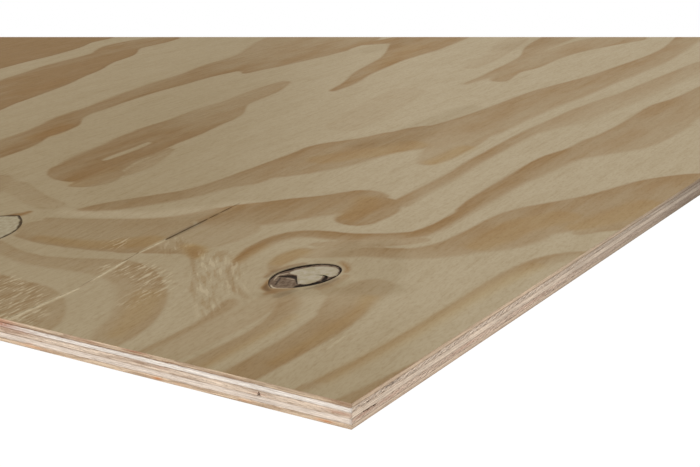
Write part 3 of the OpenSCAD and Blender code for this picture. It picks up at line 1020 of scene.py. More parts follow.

# %% [markdown]
# A few places on the two near edges stand out: wedges of brown latewood, resin, a patch of
# red wood, and painted shade in long low spots at the foot of each edge, where it meets the
# floor. Each is one soft spot in a table, so that the noise in the material only has to
# fill in what lies between them.

# %% What stands out on the near edges
# Place along the edge, height, reach along it, reach in height and strength of each spot
EDGE_SPOTS = {
    # Brown wood, and painted shade in the long low spots at heights under 1 mm along the foot
    ("short", "brown_and_foot_shade"): [(9, 14.3, 12, 0.7, 0.9), (70, 14.6, 16, 0.5, 0.25), (90, 13.4, 10, 0.6, 0.6),
        (107, 14, 8, 0.5, 0.7), (120, 13.2, 9, 0.5, 0.8), (147, 14, 8, 0.8, 0.8), (156, 13, 7, 0.4, 0.6),
        (178, 13.2, 12, 0.6, 0.8), (80, 13.2, 9, 1.2, 0.75), (5, 13.6, 11, 0.9, 0.9),
        (130, 0.1, 300, 0.7, 0.35), (243, 8, 12, 2.2, 0.45), (222, 10.2, 10, 1.4, 0.25),
        (5, 7.1, 6, 0.25, 0.7), (11.5, 7, 0.9, 0.4, 1), (143, 8.2, 6, 1, 0.6), (157, 7.8, 8, 0.9, 0.4),
        (108, 6.6, 7, 0.4, 0.4), (10, 1.2, 9, 0.7, 0.5), (50, 1.8, 9, 0.35, 0.8), (95, 1.4, 14, 0.5, 0.7),
        (140, 1.4, 12, 0.6, 0.7), (219, 6.2, 1.2, 0.3, 1), (205, 1.5, 14, 0.5, 0.5)],
    ("short", "red"): [(252, 12, 15, 3.2, 1), (146, 14.4, 9, 0.7, 0.8), (183, 13.8, 14, 0.8, 0.3),
        (236, 9.8, 10, 2, 0.4), (7, 8, 9, 0.8, 0.5), (59, 7.4, 6, 0.7, 0.4), (128, 8.3, 7, 0.7, 0.4)],
    # Brown wood, and painted shade in the long low spots at the foot of the long edge
    ("long", "brown_and_foot_shade"): [(200, 0.1, 500, 0.8, 0.65), (560, 0.8, 110, 1.6, 0.65), (570, 13, 60, 3, 0.4),
        (30, 15, 120, 0.7, 0.8), (292, 6.4, 5, 0.3, 0.6), (520, 4.4, 30, 1, 0.4)],
    ("short", "pits"): [(214, 7.6, 14, 1.6, 0.3)],
    ("short", "resin"): [(17, 1.3, 4, 0.6, 1), (68, 1.3, 3, 0.5, 0.8), (113, 1.2, 3, 0.5, 0.5),
        (130, 1.4, 3.5, 0.6, 1), (228, 2.9, 3, 0.4, 0.6), (225, 1.5, 12, 0.5, 0.6)],
    ("long", "pits"): [(0, 7.5, 0.7, 9, 0.7), (18, 10.6, 11, 0.8, 1), (40, 10.9, 13, 0.9, 0.9),
        (66, 10.5, 10, 0.7, 0.7), (98, 10.9, 16, 0.8, 0.6), (340, 11, 18, 1, 0.4),
        (190, 11, 26, 0.9, 0.35)],
    ("long", "red"): [(12, 4.6, 12, 0.7, 0.5), (40, 4.4, 14, 0.7, 0.4), (130, 4.5, 22, 0.8, 0.4),
        (225, 4.3, 24, 0.7, 0.35)],
}
EDGE_KINDS = ("brown_and_foot_shade", "red", "resin", "pits")


def edge_marks(along, across, height):
    """For each kind, the strongest spot at each point of the walls on the two near edges."""
    marks = {kind: np.zeros(along.shape) for kind in EDGE_KINDS}
    for (edge, kind), spots in EDGE_SPOTS.items():
        on_edge, run = (along < 1, across) if edge == "short" else (across < 1, along)
        for place, level, reach, rise, strength in spots:
            spot = np.exp(-((run - place) / reach) ** 2 - ((height - level) / rise) ** 2)
            marks[kind] = np.maximum(marks[kind], strength * spot * on_edge)
    return marks


print(sum(map(len, EDGE_SPOTS.values())), "spots on the edges")

# %% [markdown]
# Each point of a wall is set back into the sheet by what is missing there. Small set-backs
# are texture: a groove at the glue and pits torn by the saw, which leaves end grain
# rougher than side grain. Large ones are real gaps: a butt joint between two strips, the
# wedge-shaped gap in the core and the shallow void under it.

# %% How far each point of a wall is set back
JOINTS = {"core_veneer": ("across", (16.5, 656.5)), "upper_crossband": ("along", (735, 1715)),
          "lower_crossband": ("along", (590, 1600))}
JOINT_HALF = 0.2
JOINT_DEPTH = 3.0
GLUE_GROOVE = {"depth": 0.16, "reach": 0.3}
SAWN_RELIEF = 0.05
END_RELIEF, PIT_RELIEF, CROSS_RELIEF = 0.12, 0.75, 0.14
CORE_GAP = {"across": 59.5, "half": 1.2, "rise": 2.6, "depth": 12.0}
GLUE_VOID = {"start": 12.5, "end": 26.5, "fall": 0.8, "depth": 7.0}
ROWS = np.array([0, 0.05, 0.14, 0.26, 0.38, 0.5, 0.62, 0.74, 0.86, 0.95, 1])
CROSS_PLIES = ("lower_crossband", "upper_crossband")


def smooth_random(shape, seed, passes):
    """Random numbers from 0 to 1, averaged with their neighbours a number of times and
    stretched back to their first spread."""
    field = np.random.default_rng(seed).uniform(size=shape)
    for _ in range(passes):
        for axis in (0, 1):
            field = (np.roll(field, 1, axis) + 2 * field + np.roll(field, -1, axis)) / 4
    return np.clip(0.5 + (field - field.mean()) / (3.4 * field.std()), 0, 1)


def set_back(name, along, across, height, end_grain, pits):
    """Millimetres into the sheet at each row and column of a ply's wall: random relief, which
    is deeper in end grain, and then the joints and voids, which go in straight."""
    seed = PLIES.index(name)
    thick = ply_roof[name] - ply_floor[name]
    share = ROWS[:, None] + 0 * along[None, :]
    from_glue = np.minimum(share, 1 - share) * thick
    shape = share.shape
    groove = GLUE_GROOVE["depth"] * (1 - ease(from_glue, 0, GLUE_GROOVE["reach"]))
    depth = groove * smooth_random(shape, 90 + seed, 2)
    depth += SAWN_RELIEF * smooth_random(shape, 10 + seed, 1)
    rough = smooth_random(shape, 30 + seed, 1) ** 3
    relief = END_RELIEF + PIT_RELIEF * pits + CROSS_RELIEF * (name in CROSS_PLIES)
    depth += end_grain * rough * relief
    if name in JOINTS:
        axis, places = JOINTS[name]
        run = across if axis == "across" else along
        inner = (run > 1) & (run < {"across": width, "along": length}[axis] - 1)
        for place in places:
            depth = np.where(inner & (np.abs(run - place) < JOINT_HALF), JOINT_DEPTH, depth)
    if name == "core_veneer":
        rise = height - ply_floor[name]
        half = CORE_GAP["half"] * (1 - rise / CORE_GAP["rise"])
        gap = (along < 1) & (np.abs(across - CORE_GAP["across"]) < half)
        depth = np.where(gap, CORE_GAP["depth"], depth)
    if name == "lower_crossband":
        fall = ply_roof[name] - height
        run_in = (along > GLUE_VOID["start"]) & (along < GLUE_VOID["end"]) & (across < 1)
        depth = np.where(run_in & (fall < GLUE_VOID["fall"]), GLUE_VOID["depth"], depth)
    return depth


print("set-backs of up to", CORE_GAP["depth"], "mm")

# %% [markdown]
# A wall's rows carry what its material needs to know: where it shows end grain, how near
# the glue is, how much painted shade darkens the long edge away from the corner, and which
# place along the edge a point has, because the streaks and rings of wood are laid out along
# the edge and not in the air.

# %% The rows of a wall and their values
LONG_EDGE_START = 5000
# A dark line of painted shade along the short edge's top arris: how high it reaches, and its least share,
# its wave and the wave's longest length
ARRIS = 0.45
ARRIS_SHADE = {"least": 0.55, "wave": 0.45, "longest": 60.0}
# Start and end of a change, and the shares before and after it
GLUE_BY_HEIGHT = (8, 12, 0.6, 1.15)
GLUE_BY_PLACE = (60, 110, 0.8, 1.15)
# Painted shade on the near long edge: darker from 150 mm along, where less light falls, and fading out far
# away
FAR_EDGE_SHADE_RAMPS = ((150, 450, 0, 0.55), (430, 580, 0, 0.6))
FAR_EDGE_SHADE_END = (700, 1400, 1, 0)
FAR_EDGE_SHADE_SHARE = {"face_veneer": 1.1, "upper_crossband": 1.3, "core_veneer": 0.85,
              "lower_crossband": 1.25, "back_veneer": 1.3}


def change(value, start, end, before, after):
    """A smooth change from one share to another."""
    return before + (after - before) * ease(value, start, end)


def wall_rows(name, outline, along, across):
    """Points and attributes of each row of a ply's wall, lowest row first. The rows on the
    sheet's own top and underside aren't set back, so that its corners stay true. Wood next
    to a glue line is stained, and a dark line of painted shade runs along the short edge's top
    arris."""
    end_grain = outline.short_edge | outline.corner
    end_grain = (~end_grain if name in CROSS_PLIES else end_grain).astype(float)
    floor = glue_height(name, outline.run, roof=False)
    roof = glue_height(name, outline.run, roof=True)
    height = floor + (roof - floor) * ROWS[:, None]
    marks = edge_marks(along + 0 * height, across + 0 * height, height)
    depth = set_back(name, along, across, height, end_grain, marks["pits"])
    at_surface = (height < 0.01) | (height > top - 0.01)
    depth = np.where(outline.corner | at_surface, 0.0, depth)
    under, over = height - floor, roof - height
    from_glue = {"face_veneer": under, "back_veneer": over}.get(name, np.minimum(under, over))
    glue_and_arris_shade = (1 - ease(from_glue, 0.0, GLUE_STAIN)) * change(height, *GLUE_BY_HEIGHT)
    glue_and_arris_shade = glue_and_arris_shade * change(across, *GLUE_BY_PLACE)
    arris_shade = ARRIS_SHADE["least"] + ARRIS_SHADE["wave"] * waves(outline.run, 5, ARRIS_SHADE["longest"])
    # Painted shade: a dark line along the short edge's top arris, carried with the glue stain
    glue_and_arris_shade = np.maximum(glue_and_arris_shade, outline.short_edge * arris_shade * ease(height, top - ARRIS, top))
    run = np.where(outline.short_edge, across, along + LONG_EDGE_START)
    # Painted shade along the near long edge, darker away from the corner
    far_edge_shade = sum(change(along, *row) for row in FAR_EDGE_SHADE_RAMPS) * change(along, *FAR_EDGE_SHADE_END)
    far_edge_shade = far_edge_shade * FAR_EDGE_SHADE_SHARE[name] * (across < 1)
    rows = []
    for number, level in enumerate(height):
        points = in_frame(along + outline.inward[:, 0] * depth[number],
                          across + outline.inward[:, 1] * depth[number], level)
        values = {key: mark[number] for key, mark in marks.items()}
        values["end"] = end_grain
        # Where a wall lies deep in a gap, which gets near-black painted shade
        values["gap"] = np.clip((depth[number] - 1.0) / 0.9, 0, 1)
        values["glue_and_arris_shade"] = glue_and_arris_shade[number]
        values["far_edge_shade"] = np.clip(far_edge_shade, 0, 1)
        values["wall"] = as_vector(run, level)
        rows.append((points, values))
    return rows


print(len(ROWS), "rows up each ply's wall")

# %% [markdown]
# Wood on an edge comes in two kinds. Side grain is a bundle of fine streaks that run with
# the edge. End grain shows the growth rings cut across: on peeled veneer they lie almost
# flat and run out of the ply as long slanted wedges. One material per ply holds both, and
# an attribute says which of the two each wall shows.

# %% Edge materials
RING_RISE = 4.2
RING_RUN = 75.0
CHECK_STEP = 8.0
CHECK_LEAN = -0.45
# Grey tint of the painted shade on the near long edge
FAR_EDGE_SHADE_TINT = (0.52, 0.52, 0.51, 1.0)
DARK_THREAD = (138, 108, 84)
TORN_OUT = (100, 84, 76)
# Near-black painted shade inside the deep joints and voids
GLUE_AND_ARRIS_BROWN = (124, 94, 70)
GAP_SHADE_BLACK = (42, 28, 20)
# The brown mark colours brown wood and the painted shade at the foot of the edges
MARK_COLOURS = {"red": (168, 108, 82), "brown_and_foot_shade": (126, 88, 58), "resin": (196, 120, 62)}


def scaled(colour, factor, less=(0, 0, 0)):
    """A screen colour times a factor, less an amount for each part, as linear light."""
    return linear(*np.minimum(255, factor * np.array(colour) - less))


def growth_rings(tree, place, clouds, strength):
    """Wedges of late wood in end grain: a saw wave of height over RING_RISE plus run over
    RING_RUN, nudged by clouds. Each tooth rises softly and ends crisply."""
    run = add(tree, "SeparateXYZ", {0: place})
    slant = sums(tree, "ADD", sums(tree, "DIVIDE", run.node.outputs[1], RING_RISE),
                 sums(tree, "DIVIDE", run, RING_RUN))
    saw = sums(tree, "FRACT", sums(tree, "ADD", slant, times(tree, clouds, 1.6)))
    ring = times(tree, step(tree, saw, 0.45, 0.92), step(tree, saw, 1.0, 0.94))
    ring = times(tree, ring, strength)
    return times(tree, ring, step(tree, clouds, 0.3, 0.6, 0.4, 1.0))


def peeling_checks(tree, place, pores, threads, strength):
    """The slanted cracks that peeling leaves: one in each CHECK_STEP of the run, leaning with
    the height, broken up by the threads and fainter where painted shade darkens the edge."""
    run = add(tree, "SeparateXYZ", {0: place})
    cell = sums(tree, "ADD", sums(tree, "DIVIDE", run, CHECK_STEP),
                times(tree, run.node.outputs[1], CHECK_LEAN))
    cell = sums(tree, "ADD", cell, times(tree, pores, 1.3))
    check = sums(tree, "PINGPONG", cell, 0.5)
    check = times(tree, step(tree, check, 0.33, 0.43), step(tree, threads, 0.62, 0.42))
    shown = step(tree, attribute(tree, "far_edge_shade"), 0.0, 0.6, strength, 0.3 * strength)
    return times(tree, check, shown)


def marked(tree, colour, threads, pores):
    """The colour with what a wall's attributes say, each laid over the one before: threads,
    torn pits, spots, glue stain with the arris's painted shade, the long edge's painted shade
    and black painted shade in the gaps."""
    colour = blend(tree, step(tree, threads, 0.3, 0.55, 0.4, 0.0), colour, linear(*DARK_THREAD))
    torn_out = times(tree, attribute(tree, "pits"), step(tree, pores, 0.56, 0.42))
    colour = blend(tree, times(tree, torn_out, 0.7), colour, linear(*TORN_OUT))
    ragged = step(tree, pores, 0.25, 0.65, 0.6, 1.0)
    for mark, shade in MARK_COLOURS.items():
        share = times(tree, attribute(tree, mark), ragged)
        colour = blend(tree, times(tree, share, 0.95), colour, linear(*shade))
    # Glue stain, and the painted shade along the short edge's top arris
    line = times(tree, attribute(tree, "glue_and_arris_shade"), step(tree, threads, 0.25, 0.65, 1.0, 0.5))
    colour = blend(tree, line, colour, linear(*GLUE_AND_ARRIS_BROWN))
    colour = tinted(tree, attribute(tree, "far_edge_shade"), colour, FAR_EDGE_SHADE_TINT)
    # Painted shade: near black where the wall is set back into a gap
    return blend(tree, step(tree, attribute(tree, "gap"), 0.2, 0.85), colour, linear(*GAP_SHADE_BLACK))


def edge_material(name, side, end, ring_strength, check_strength):
    """Veneer seen from its edge: side grain where the wall runs with the fibres and end
    grain where it cuts them, with its growth rings, open pores and checks."""
    material, tree, shader = new_material(name)
    place = attribute(tree, "wall", "Vector")
    streaks = grain_noise(tree, place, (38, 0.55, 1), 3.0, 0.65)
    threads = grain_noise(tree, place, (6.0, 0.4, 1), 2.0, 0.6)
    clouds = grain_noise(tree, place, (38, 2.4, 1), 2.0)
    pores = grain_noise(tree, place, (1.6, 0.8, 1), 3.0, 0.7)
    side_colour = blend(tree, step(tree, streaks, 0.32, 0.68), scaled(side, 0.82), scaled(side, 1.04))
    end_colour = blend(tree, step(tree, streaks, 0.3, 0.7), scaled(end, 0.86), scaled(end, 1.08))
    ring = growth_rings(tree, place, clouds, ring_strength)
    end_colour = blend(tree, ring, end_colour, scaled(end, 0.66, (0, 8, 14)))
    open_pores = step(tree, pores, 0.58, 0.72, 0.0, 0.5)
    end_colour = blend(tree, open_pores, end_colour, scaled(end, 0.55))
    check = peeling_checks(tree, place, pores, threads, check_strength)
    end_colour = blend(tree, check, end_colour, scaled(end, 0.42))
    colour = blend(tree, attribute(tree, "end"), side_colour, end_colour)
    colour = marked(tree, colour, threads, pores)
    roughness = step(tree, threads, 0.3, 0.7, 0.66, 0.82)
    relief = sums(tree, "ADD", pores, sums(tree, "SUBTRACT", threads, check))
    dress(tree, shader, colour, roughness, 0.15, relief, 0.35)
    return material


edge_finish = {
    "face_veneer": edge_material("face edge", (224, 198, 169), (210, 187, 160), 0.7, 0.1),
    "upper_crossband": edge_material("upper crossband", (239, 229, 218), (226, 206, 185), 0.25, 0.9),
    "core_veneer": edge_material("core", (235, 215, 193), (221, 201, 180), 0.5, 0.25),
    "lower_crossband": edge_material("lower crossband", (230, 215, 200), (220, 197, 176), 0.3, 0.7),
    "back_veneer": edge_material("back edge", (228, 206, 182), (222, 199, 172), 0.6, 0.1),
}
print(len(edge_finish), "edge materials")

# %% [markdown]
# The face's own material starts from the distance into the latewood. A little noise along
# the fibres frays the border, a smooth step makes the mask, and the mask picks between the
# pale early wood and the brown late wood. Streaks, torn flecks and resin lie on top.


# %% Face material
PALE = (177, 161, 132)
LATE_TINT = (0.675, 0.52, 0.345, 1.0)
GOLD_TINT = (0.98, 0.88, 0.66, 1.0)
AMBER_TINT = (0.64, 0.42, 0.19, 1.0)
STAIN_AND_SHADE_TINT = (0.30, 0.25, 0.23, 1.0)
# Tint of the painted shade and light on the face
PAINTED_SHADE_TINT = (0.755, 0.72, 0.635, 1.0)
BORDER_TINT = (0.88, 0.80, 0.70, 1.0)
SMEARED = (186, 169, 137)
FLECK = (188, 171, 140)
FRAY = 1.6
STEEP_TURN = 34
# What makes a fine shade: where the noise starts and ends to count, its share and its tint
SHADES = {"drift": (0.62, 0.3, 0.5, (0.92, 0.90, 0.86, 1.0)),
          "mottle": (0.6, 0.3, 0.55, (0.89, 0.86, 0.81, 1.0)),
          "streaks": (0.46, 0.26, 0.4, (0.86, 0.81, 0.74, 1.0)),
          "fine": (0.56, 0.28, 0.75, (0.86, 0.82, 0.76, 1.0))}
SCAR_TINT = (0.86, 0.78, 0.68, 1.0)


def late_wood(tree, colour, mottle, drift):
    """Brown bands: the distance into the latewood, frayed by the mottle, becomes a mask, and
    a thin band just inside its border is darkened once more."""
    fray = times(tree, sums(tree, "SUBTRACT", mottle, 0.5), 2 * FRAY)
    late = sums(tree, "ADD", attribute(tree, "late"), fray)
    depth = times(tree, attribute(tree, "depth"), step(tree, drift, 0.3, 0.7, 0.72, 1.2))
    mask = times(tree, step(tree, late, -2.4, 3.0), depth, clamp=True)
    border = times(tree, step(tree, late, -0.8, 0.8), step(tree, late, 4.0, 1.4))
    border = times(tree, border, times(tree, depth, 0.55))
    return tinted(tree, border, tinted(tree, mask, colour, LATE_TINT), BORDER_TINT)


def torn_grain(tree, colour, relief, fibre):
    """Pale flecks that stand up, with brown scars between them: along the fibres and, where
    the grain dives into the sheet, at a steep angle to them."""
    turn = {"Vector": fibre, "Angle": math.radians(-STEEP_TURN)}
    steep_fibre = add(tree, "VectorRotate", turn, rotation_type="Z_AXIS")
    for key, place, size, strength in (("torn", fibre, (13, 2.5, 1), 0.75),
                                       ("steep", steep_fibre, (24, 4.4, 1), 0.6)):
        flecks = grain_noise(tree, place, size, 2.0, 0.55)
        fleck = times(tree, attribute(tree, key), step(tree, flecks, 0.55, 0.63))
        scar = times(tree, attribute(tree, key), step(tree, flecks, 0.5, 0.38))
        colour = tinted(tree, scar, colour, SCAR_TINT)
        colour = blend(tree, times(tree, fleck, strength), colour, linear(*FLECK))
        relief = sums(tree, "ADD", relief, times(tree, fleck, 0.5))
    return colour, relief


def veneer_material(name):
    """Peeled pine: pale and brown bands, fine fibre streaks, torn grain and resin."""
    material, tree, shader = new_material(name)
    fibre = attribute(tree, "fibre", "Vector")
    noises = {"drift": grain_noise(tree, fibre, (95, 20, 1), 2.0),
              "mottle": grain_noise(tree, fibre, (17, 4.5, 1), 4.0, 0.6),
              "streaks": grain_noise(tree, fibre, (60, 3.4, 1), 2.0, 0.6),
              "fine": grain_noise(tree, fibre, (5.5, 1.7, 1), 3.0, 0.6)}
    # Painted shade: the pale colour darkened where less light falls
    colour = tinted(tree, attribute(tree, "painted_shade"), linear(*PALE), PAINTED_SHADE_TINT)
    colour = late_wood(tree, colour, noises["mottle"], noises["drift"])
    colour = tinted(tree, attribute(tree, "gold"), colour, GOLD_TINT)
    for kind, (start, end, share, tint) in SHADES.items():
        colour = tinted(tree, step(tree, noises[kind], start, end, 0.0, share), colour, tint)
    relief = times(tree, noises["streaks"], 0.6)
    colour, relief = torn_grain(tree, colour, relief, fibre)
    colour = blend(tree, attribute(tree, "smear"), colour, linear(*SMEARED))
    colour = tinted(tree, attribute(tree, "amber"), colour, AMBER_TINT)
    # Dark stains, and painted shade along the open split
    ragged = step(tree, noises["mottle"], 0.3, 0.6, 0.6, 1.0)
    stain_and_split_shade = times(tree, attribute(tree, "stain_and_split_shade"), ragged)
    colour = tinted(tree, stain_and_split_shade, colour, STAIN_AND_SHADE_TINT)
    roughness = step(tree, noises["streaks"], 0.3, 0.7, 0.72, 0.62)
    relief = sums(tree, "ADD", relief, times(tree, noises["fine"], 0.5))
    dress(tree, shader, colour, roughness, 0.1, relief, 0.22)
    return material


face_finish = veneer_material("face veneer")
print("face finish made")

# %% [markdown]
# Now the face itself. The grid gives the top, cells inside the knots and the split are
# left out, and each hole gets a cup: a wall down to a thin floor. The walls of the sheet
# hang from the grid's own border, so that the top and the edge share their points.

# %% Cups for the knots and the split
CUP_FLOOR = 0.2
CRACK_SILL = 0.12
CRACK_DEPTH = 1.1
# Middle and half length of each stretch where the split gapes, past its filled part
DASHES = ((SPLIT["filled"] + 26, 30), (251, 4), (269, 6), (286, 2))
DASH_END = 2.5


def line_number(lines, place):
    """The number of the line that stands nearest to a place."""
    return int(np.argmin(np.abs(lines - place)))


def box_lines(knot, box):
    """Numbers of the grid lines that bound the box round a knot."""
    return (line_number(along_lines, knot["along"] - box[0]),
            line_number(along_lines, knot["along"] + box[0]),
            line_number(across_lines, knot["across"] - box[1]),
            line_number(across_lines, knot["across"] + box[1]))


def box_ring(numbers, i0, i1, j0, j1):
    """Point numbers round a box of grid lines, counterclockwise from above."""
    return np.concatenate([numbers[i0:i1, j0], numbers[i1, j0:j1],
                           numbers[i1:i0:-1, j1], numbers[i0, j1:j0:-1]])


def cup(shell, numbers, box, points, values, floor, flat, room):
    """A hole's wall, and its floor: the cells that were left out, let down to the floor's
    height. They keep the place on the map that the surface would have had there."""
    i0, i1, j0, j1 = box
    inner = numbers[i0:i1 + 1, j0:j1 + 1]
    sunk = points[inner.ravel()]
    sunk[:, 2] = floor((sunk[:, 0] - face_low[0]) / MM) * MM
    low = shell.put(sunk, {key: value[inner.ravel()] for key, value in values.items()})
    low = low.reshape(inner.shape)
    place = dict(zip(low.ravel().tolist(), flat[inner.ravel()]))
    cells = np.stack([low[:-1, :-1], low[1:, :-1], low[1:, 1:], low[:-1, 1:]], -1).reshape(-1, 4)
    shell.skin(cells, [place[point] for point in cells.ravel().tolist()])
    ring, low_ring = box_ring(numbers, *box), box_ring(low, 0, i1 - i0, 0, j1 - j0)
    count = len(ring)
    start, end = np.arange(count) / count, np.arange(1, count + 1) / count
    shell.skin(ring_faces(ring, low_ring), map_cells(start, end, room[1], room[0]))


def knot_floor(along):
    """The floor under a knot: a thin skin above the glue line."""
    return ply_floor["face_veneer"] + CUP_FLOOR + 0 * along


def crack_floor(along):
    """Deep under the filler, shallower where the split is open, and nearly level with the
    face between the dashes at its end, where fibres bridge it."""
    dashes = sum(1 - ease(np.abs(along - middle), half, half + DASH_END) for middle, half in DASHES)
    open_height = top - CRACK_SILL - CRACK_DEPTH * np.clip(dashes, 0, 1)
    return np.where(along < SPLIT["filled"] - 3, knot_floor(along), open_height)


print("the open split is up to", round(CRACK_SILL + CRACK_DEPTH, 2), "mm deep")

# %% [markdown]
# The grid, its cups and its walls become one closed shell. Its texture map has a room for
# each: most of it for the figured surface, a band for the walls and slivers for the rest.

# %% Build the face
WALL_ROOM = (0.0, 0.12)
HIDDEN_ROOM = (0.124, 0.136)
CUP_ROOM = (0.14, 0.16)
TOP_ROOM = (0.165, 0.995)
STRIPS = 12


def build_veneer(name, lines, place, figure_values, boxes, up):
    """An outer veneer: a figured grid on the sheet's surface, cups where cells are left out,
    walls from the grid's border to the glue line, and a plain cover against the next ply."""
    along, across = (part.ravel() for part in place)
    outline = Outline(*lines)
    shell = Shell()
    border = box_ring(np.arange(len(along)).reshape(place[0].shape),
                      0, len(lines[0]) - 1, 0, len(lines[1]) - 1)
    rows = wall_rows(name, outline, along[border], across[border])
    surface_row, inner_rows = (rows[-1], rows[:-1]) if up else (rows[0], rows[1:])
    values = dict(figure_values)
    for key, value in surface_row[1].items():
        values[key] = np.zeros((len(along), *value.shape[1:]))
        values[key][border] = value
    points = in_frame(along, across, top if up else 0.0)
    numbers = shell.put(points, values).reshape(place[0].shape)
    solid = np.ones((len(lines[0]) - 1, len(lines[1]) - 1), bool)
    for box, floor in boxes:
        solid[box[0]:box[1], box[2]:box[3]] = False
    cells = np.stack([numbers[:-1, :-1], numbers[1:, :-1], numbers[1:, 1:], numbers[:-1, 1:]], -1)
    cells = cells[solid] if up else cells[solid][:, ::-1]
    flat = np.stack([along / length, across / width], axis=-1)
    flat = [0.01, TOP_ROOM[0]] + flat * [0.98, TOP_ROOM[1] - TOP_ROOM[0]]
    shell.skin(cells, flat[cells])
    for number, (box, floor) in enumerate(boxes):
        tall = (CUP_ROOM[1] - CUP_ROOM[0]) / len(boxes)
        room = (CUP_ROOM[0] + tall * number, CUP_ROOM[0] + tall * (number + 0.9))
        cup(shell, numbers, box, points, values, floor, flat, room)
    carried = {key: value[border] for key, value in figure_values.items()}
    rings = [shell.put(row, {**carried, **own}) for row, own in inner_rows]
    surface = box_ring(numbers, 0, len(lines[0]) - 1, 0, len(lines[1]) - 1)
    rings = [*rings, surface] if up else [surface, *rings]
    wall(shell, outline, rings, STRIPS, *WALL_ROOM, finish=1)
    cover(shell, outline, rings[0] if up else rings[-1], not up, *HIDDEN_ROOM, finish=1)
    return shell


split_row = line_number(across_lines, SPLIT_MIDDLE - SPLIT_ROW)
split_box = (1, line_number(along_lines, split_end), split_row, split_row + 1)
holes = [(box_lines(KNOT, knot_box["barked"]), knot_floor),
         (box_lines(TIGHT, knot_box["tight"]), knot_floor), (split_box, crack_floor)]
face = build_veneer("face_veneer", (along_lines, across_lines), (face_along, face_across),
                    face_values, holes, up=True)
face.finish("face", [face_finish, edge_finish["face_veneer"]], "face_veneer", "face_wood")

# %% [markdown]
# The underside is the same kind of veneer, peeled from the same sort of log, so it uses the
# same functions. No photograph shows it, and its figure is only the waving rings.

# %% Build the back veneer
UNDERSIDE_SHIFT = (4100.0, 900.0)
BACK_STEP = 5.0
BACK_REACH = 420.0


def back_spacing(place):
    """Plain steps as far as BACK_REACH and wider ones past it."""
    return BACK_STEP + max(0.0, place - BACK_REACH) / 130


back_lines = tuple(spaced_lines(sorted({0.0, BACK_REACH, *graded_marks(480.0, float(reach), 60.0, 1.12)}),
                                back_spacing) for reach in (length, width))
back_place = np.meshgrid(*back_lines, indexing="ij")
back_a, back_b = (part.ravel() for part in back_place)
back_values = {
    "late": wild_latewood(back_a + UNDERSIDE_SHIFT[0], back_b + UNDERSIDE_SHIFT[1]),
    "depth": 0.7 + 0.2 * np.sin(back_a / 240 - back_b / 140),
    **{key: 0 * back_a for key in ("gold", "torn", "steep", "amber", "stain_and_split_shade", "smear", "painted_shade")},
    "fibre": fibre_place(back_a + UNDERSIDE_SHIFT[0], back_b + UNDERSIDE_SHIFT[1]),
}
back_finish = veneer_material("back veneer")
back = build_veneer("back_veneer", back_lines, back_place, back_values, [], up=False)
back.finish("back", [back_finish, edge_finish["back_veneer"]], "back_veneer", "back_wood")

# %% [markdown]
# The three inner plies show nothing but their edges. Their columns stand closer than those
# of the outer veneers, because the gaps and the torn end grain are made of real set-backs.

# %% Build the inner plies
INNER_STRIPS = 30
INNER_WALL = (0.0, 0.95)
INNER_HIDDEN = ((0.955, 0.97), (0.975, 0.99))
INNER_STEP = 1.5
INNER_REACH = (600.0, 300.0)
GAP_SIDES = (55.0, 64.0)
GAP_STEP = 0.5


def inner_along(place):
    """Steps along the sheet, fine as far as the camera sees the edge well."""
    return INNER_STEP + max(0.0, place - INNER_REACH[0]) / 90


def inner_across(place):
    """Steps across the sheet, finest round the gap in the core."""
    if GAP_SIDES[0] < place < GAP_SIDES[1]:
        return GAP_STEP
    return INNER_STEP + max(0.0, place - INNER_REACH[1]) / 90


def joint_marks(axis):
    """Marks close beside each joint, so that it gets columns of its own."""
    places = [place for way, row in JOINTS.values() if way == axis for place in row]
    return {place + off for place in places for off in (-0.5, -0.25, 0.25, 0.5)}


inner_lines = (
    spaced_lines(sorted({0.0, INNER_REACH[0], *graded_marks(700.0, float(length), 60.0, 1.1),
                         *joint_marks("along")}), inner_along),
    spaced_lines(sorted({0.0, *GAP_SIDES, INNER_REACH[1], *graded_marks(350.0, float(width), 50.0, 1.1),
                         *joint_marks("across")}), inner_across))
INNER = {"upper_crossband": ("upper_crossband_edges", "crossband_wood"),
         "core_veneer": ("core_edges", "core_wood"),
         "lower_crossband": ("lower_crossband_edges", "crossband_wood")}
for node, (title, slot) in INNER.items():
    outline = Outline(*inner_lines)
    shell = Shell()
    rings = [shell.put(*row) for row in wall_rows(node, outline, outline.along, outline.across)]
    wall(shell, outline, rings, INNER_STRIPS, *INNER_WALL)
    cover(shell, outline, rings[0], False, *INNER_HIDDEN[0])
    cover(shell, outline, rings[-1], True, *INNER_HIDDEN[1])
    shell.finish(title, [edge_finish[node]], node, slot)

# %% [markdown]
# The barked knot has three stuffs in one small lens: a ring of black bark, the knot's own
# grey wood in the pointed end, and filler where the wood has fallen out. Knot and filler
# are discs: rings of points shrink from the outline to a middle point, so the outline is
# exact and the relief in between can be as fine as it needs to be.


# %% A disc with a relief on top
# Where the parts of a disc lie in its room on the map, as shares of the room
DISC_LEFT, DISC_WIDE = 0.02, 0.96
TOP_FOOT, TOP_TALL = 0.3, 0.68
WALL_FOOT, WALL_HEAD = 0.22, 0.28
LOW_TALL = 0.2


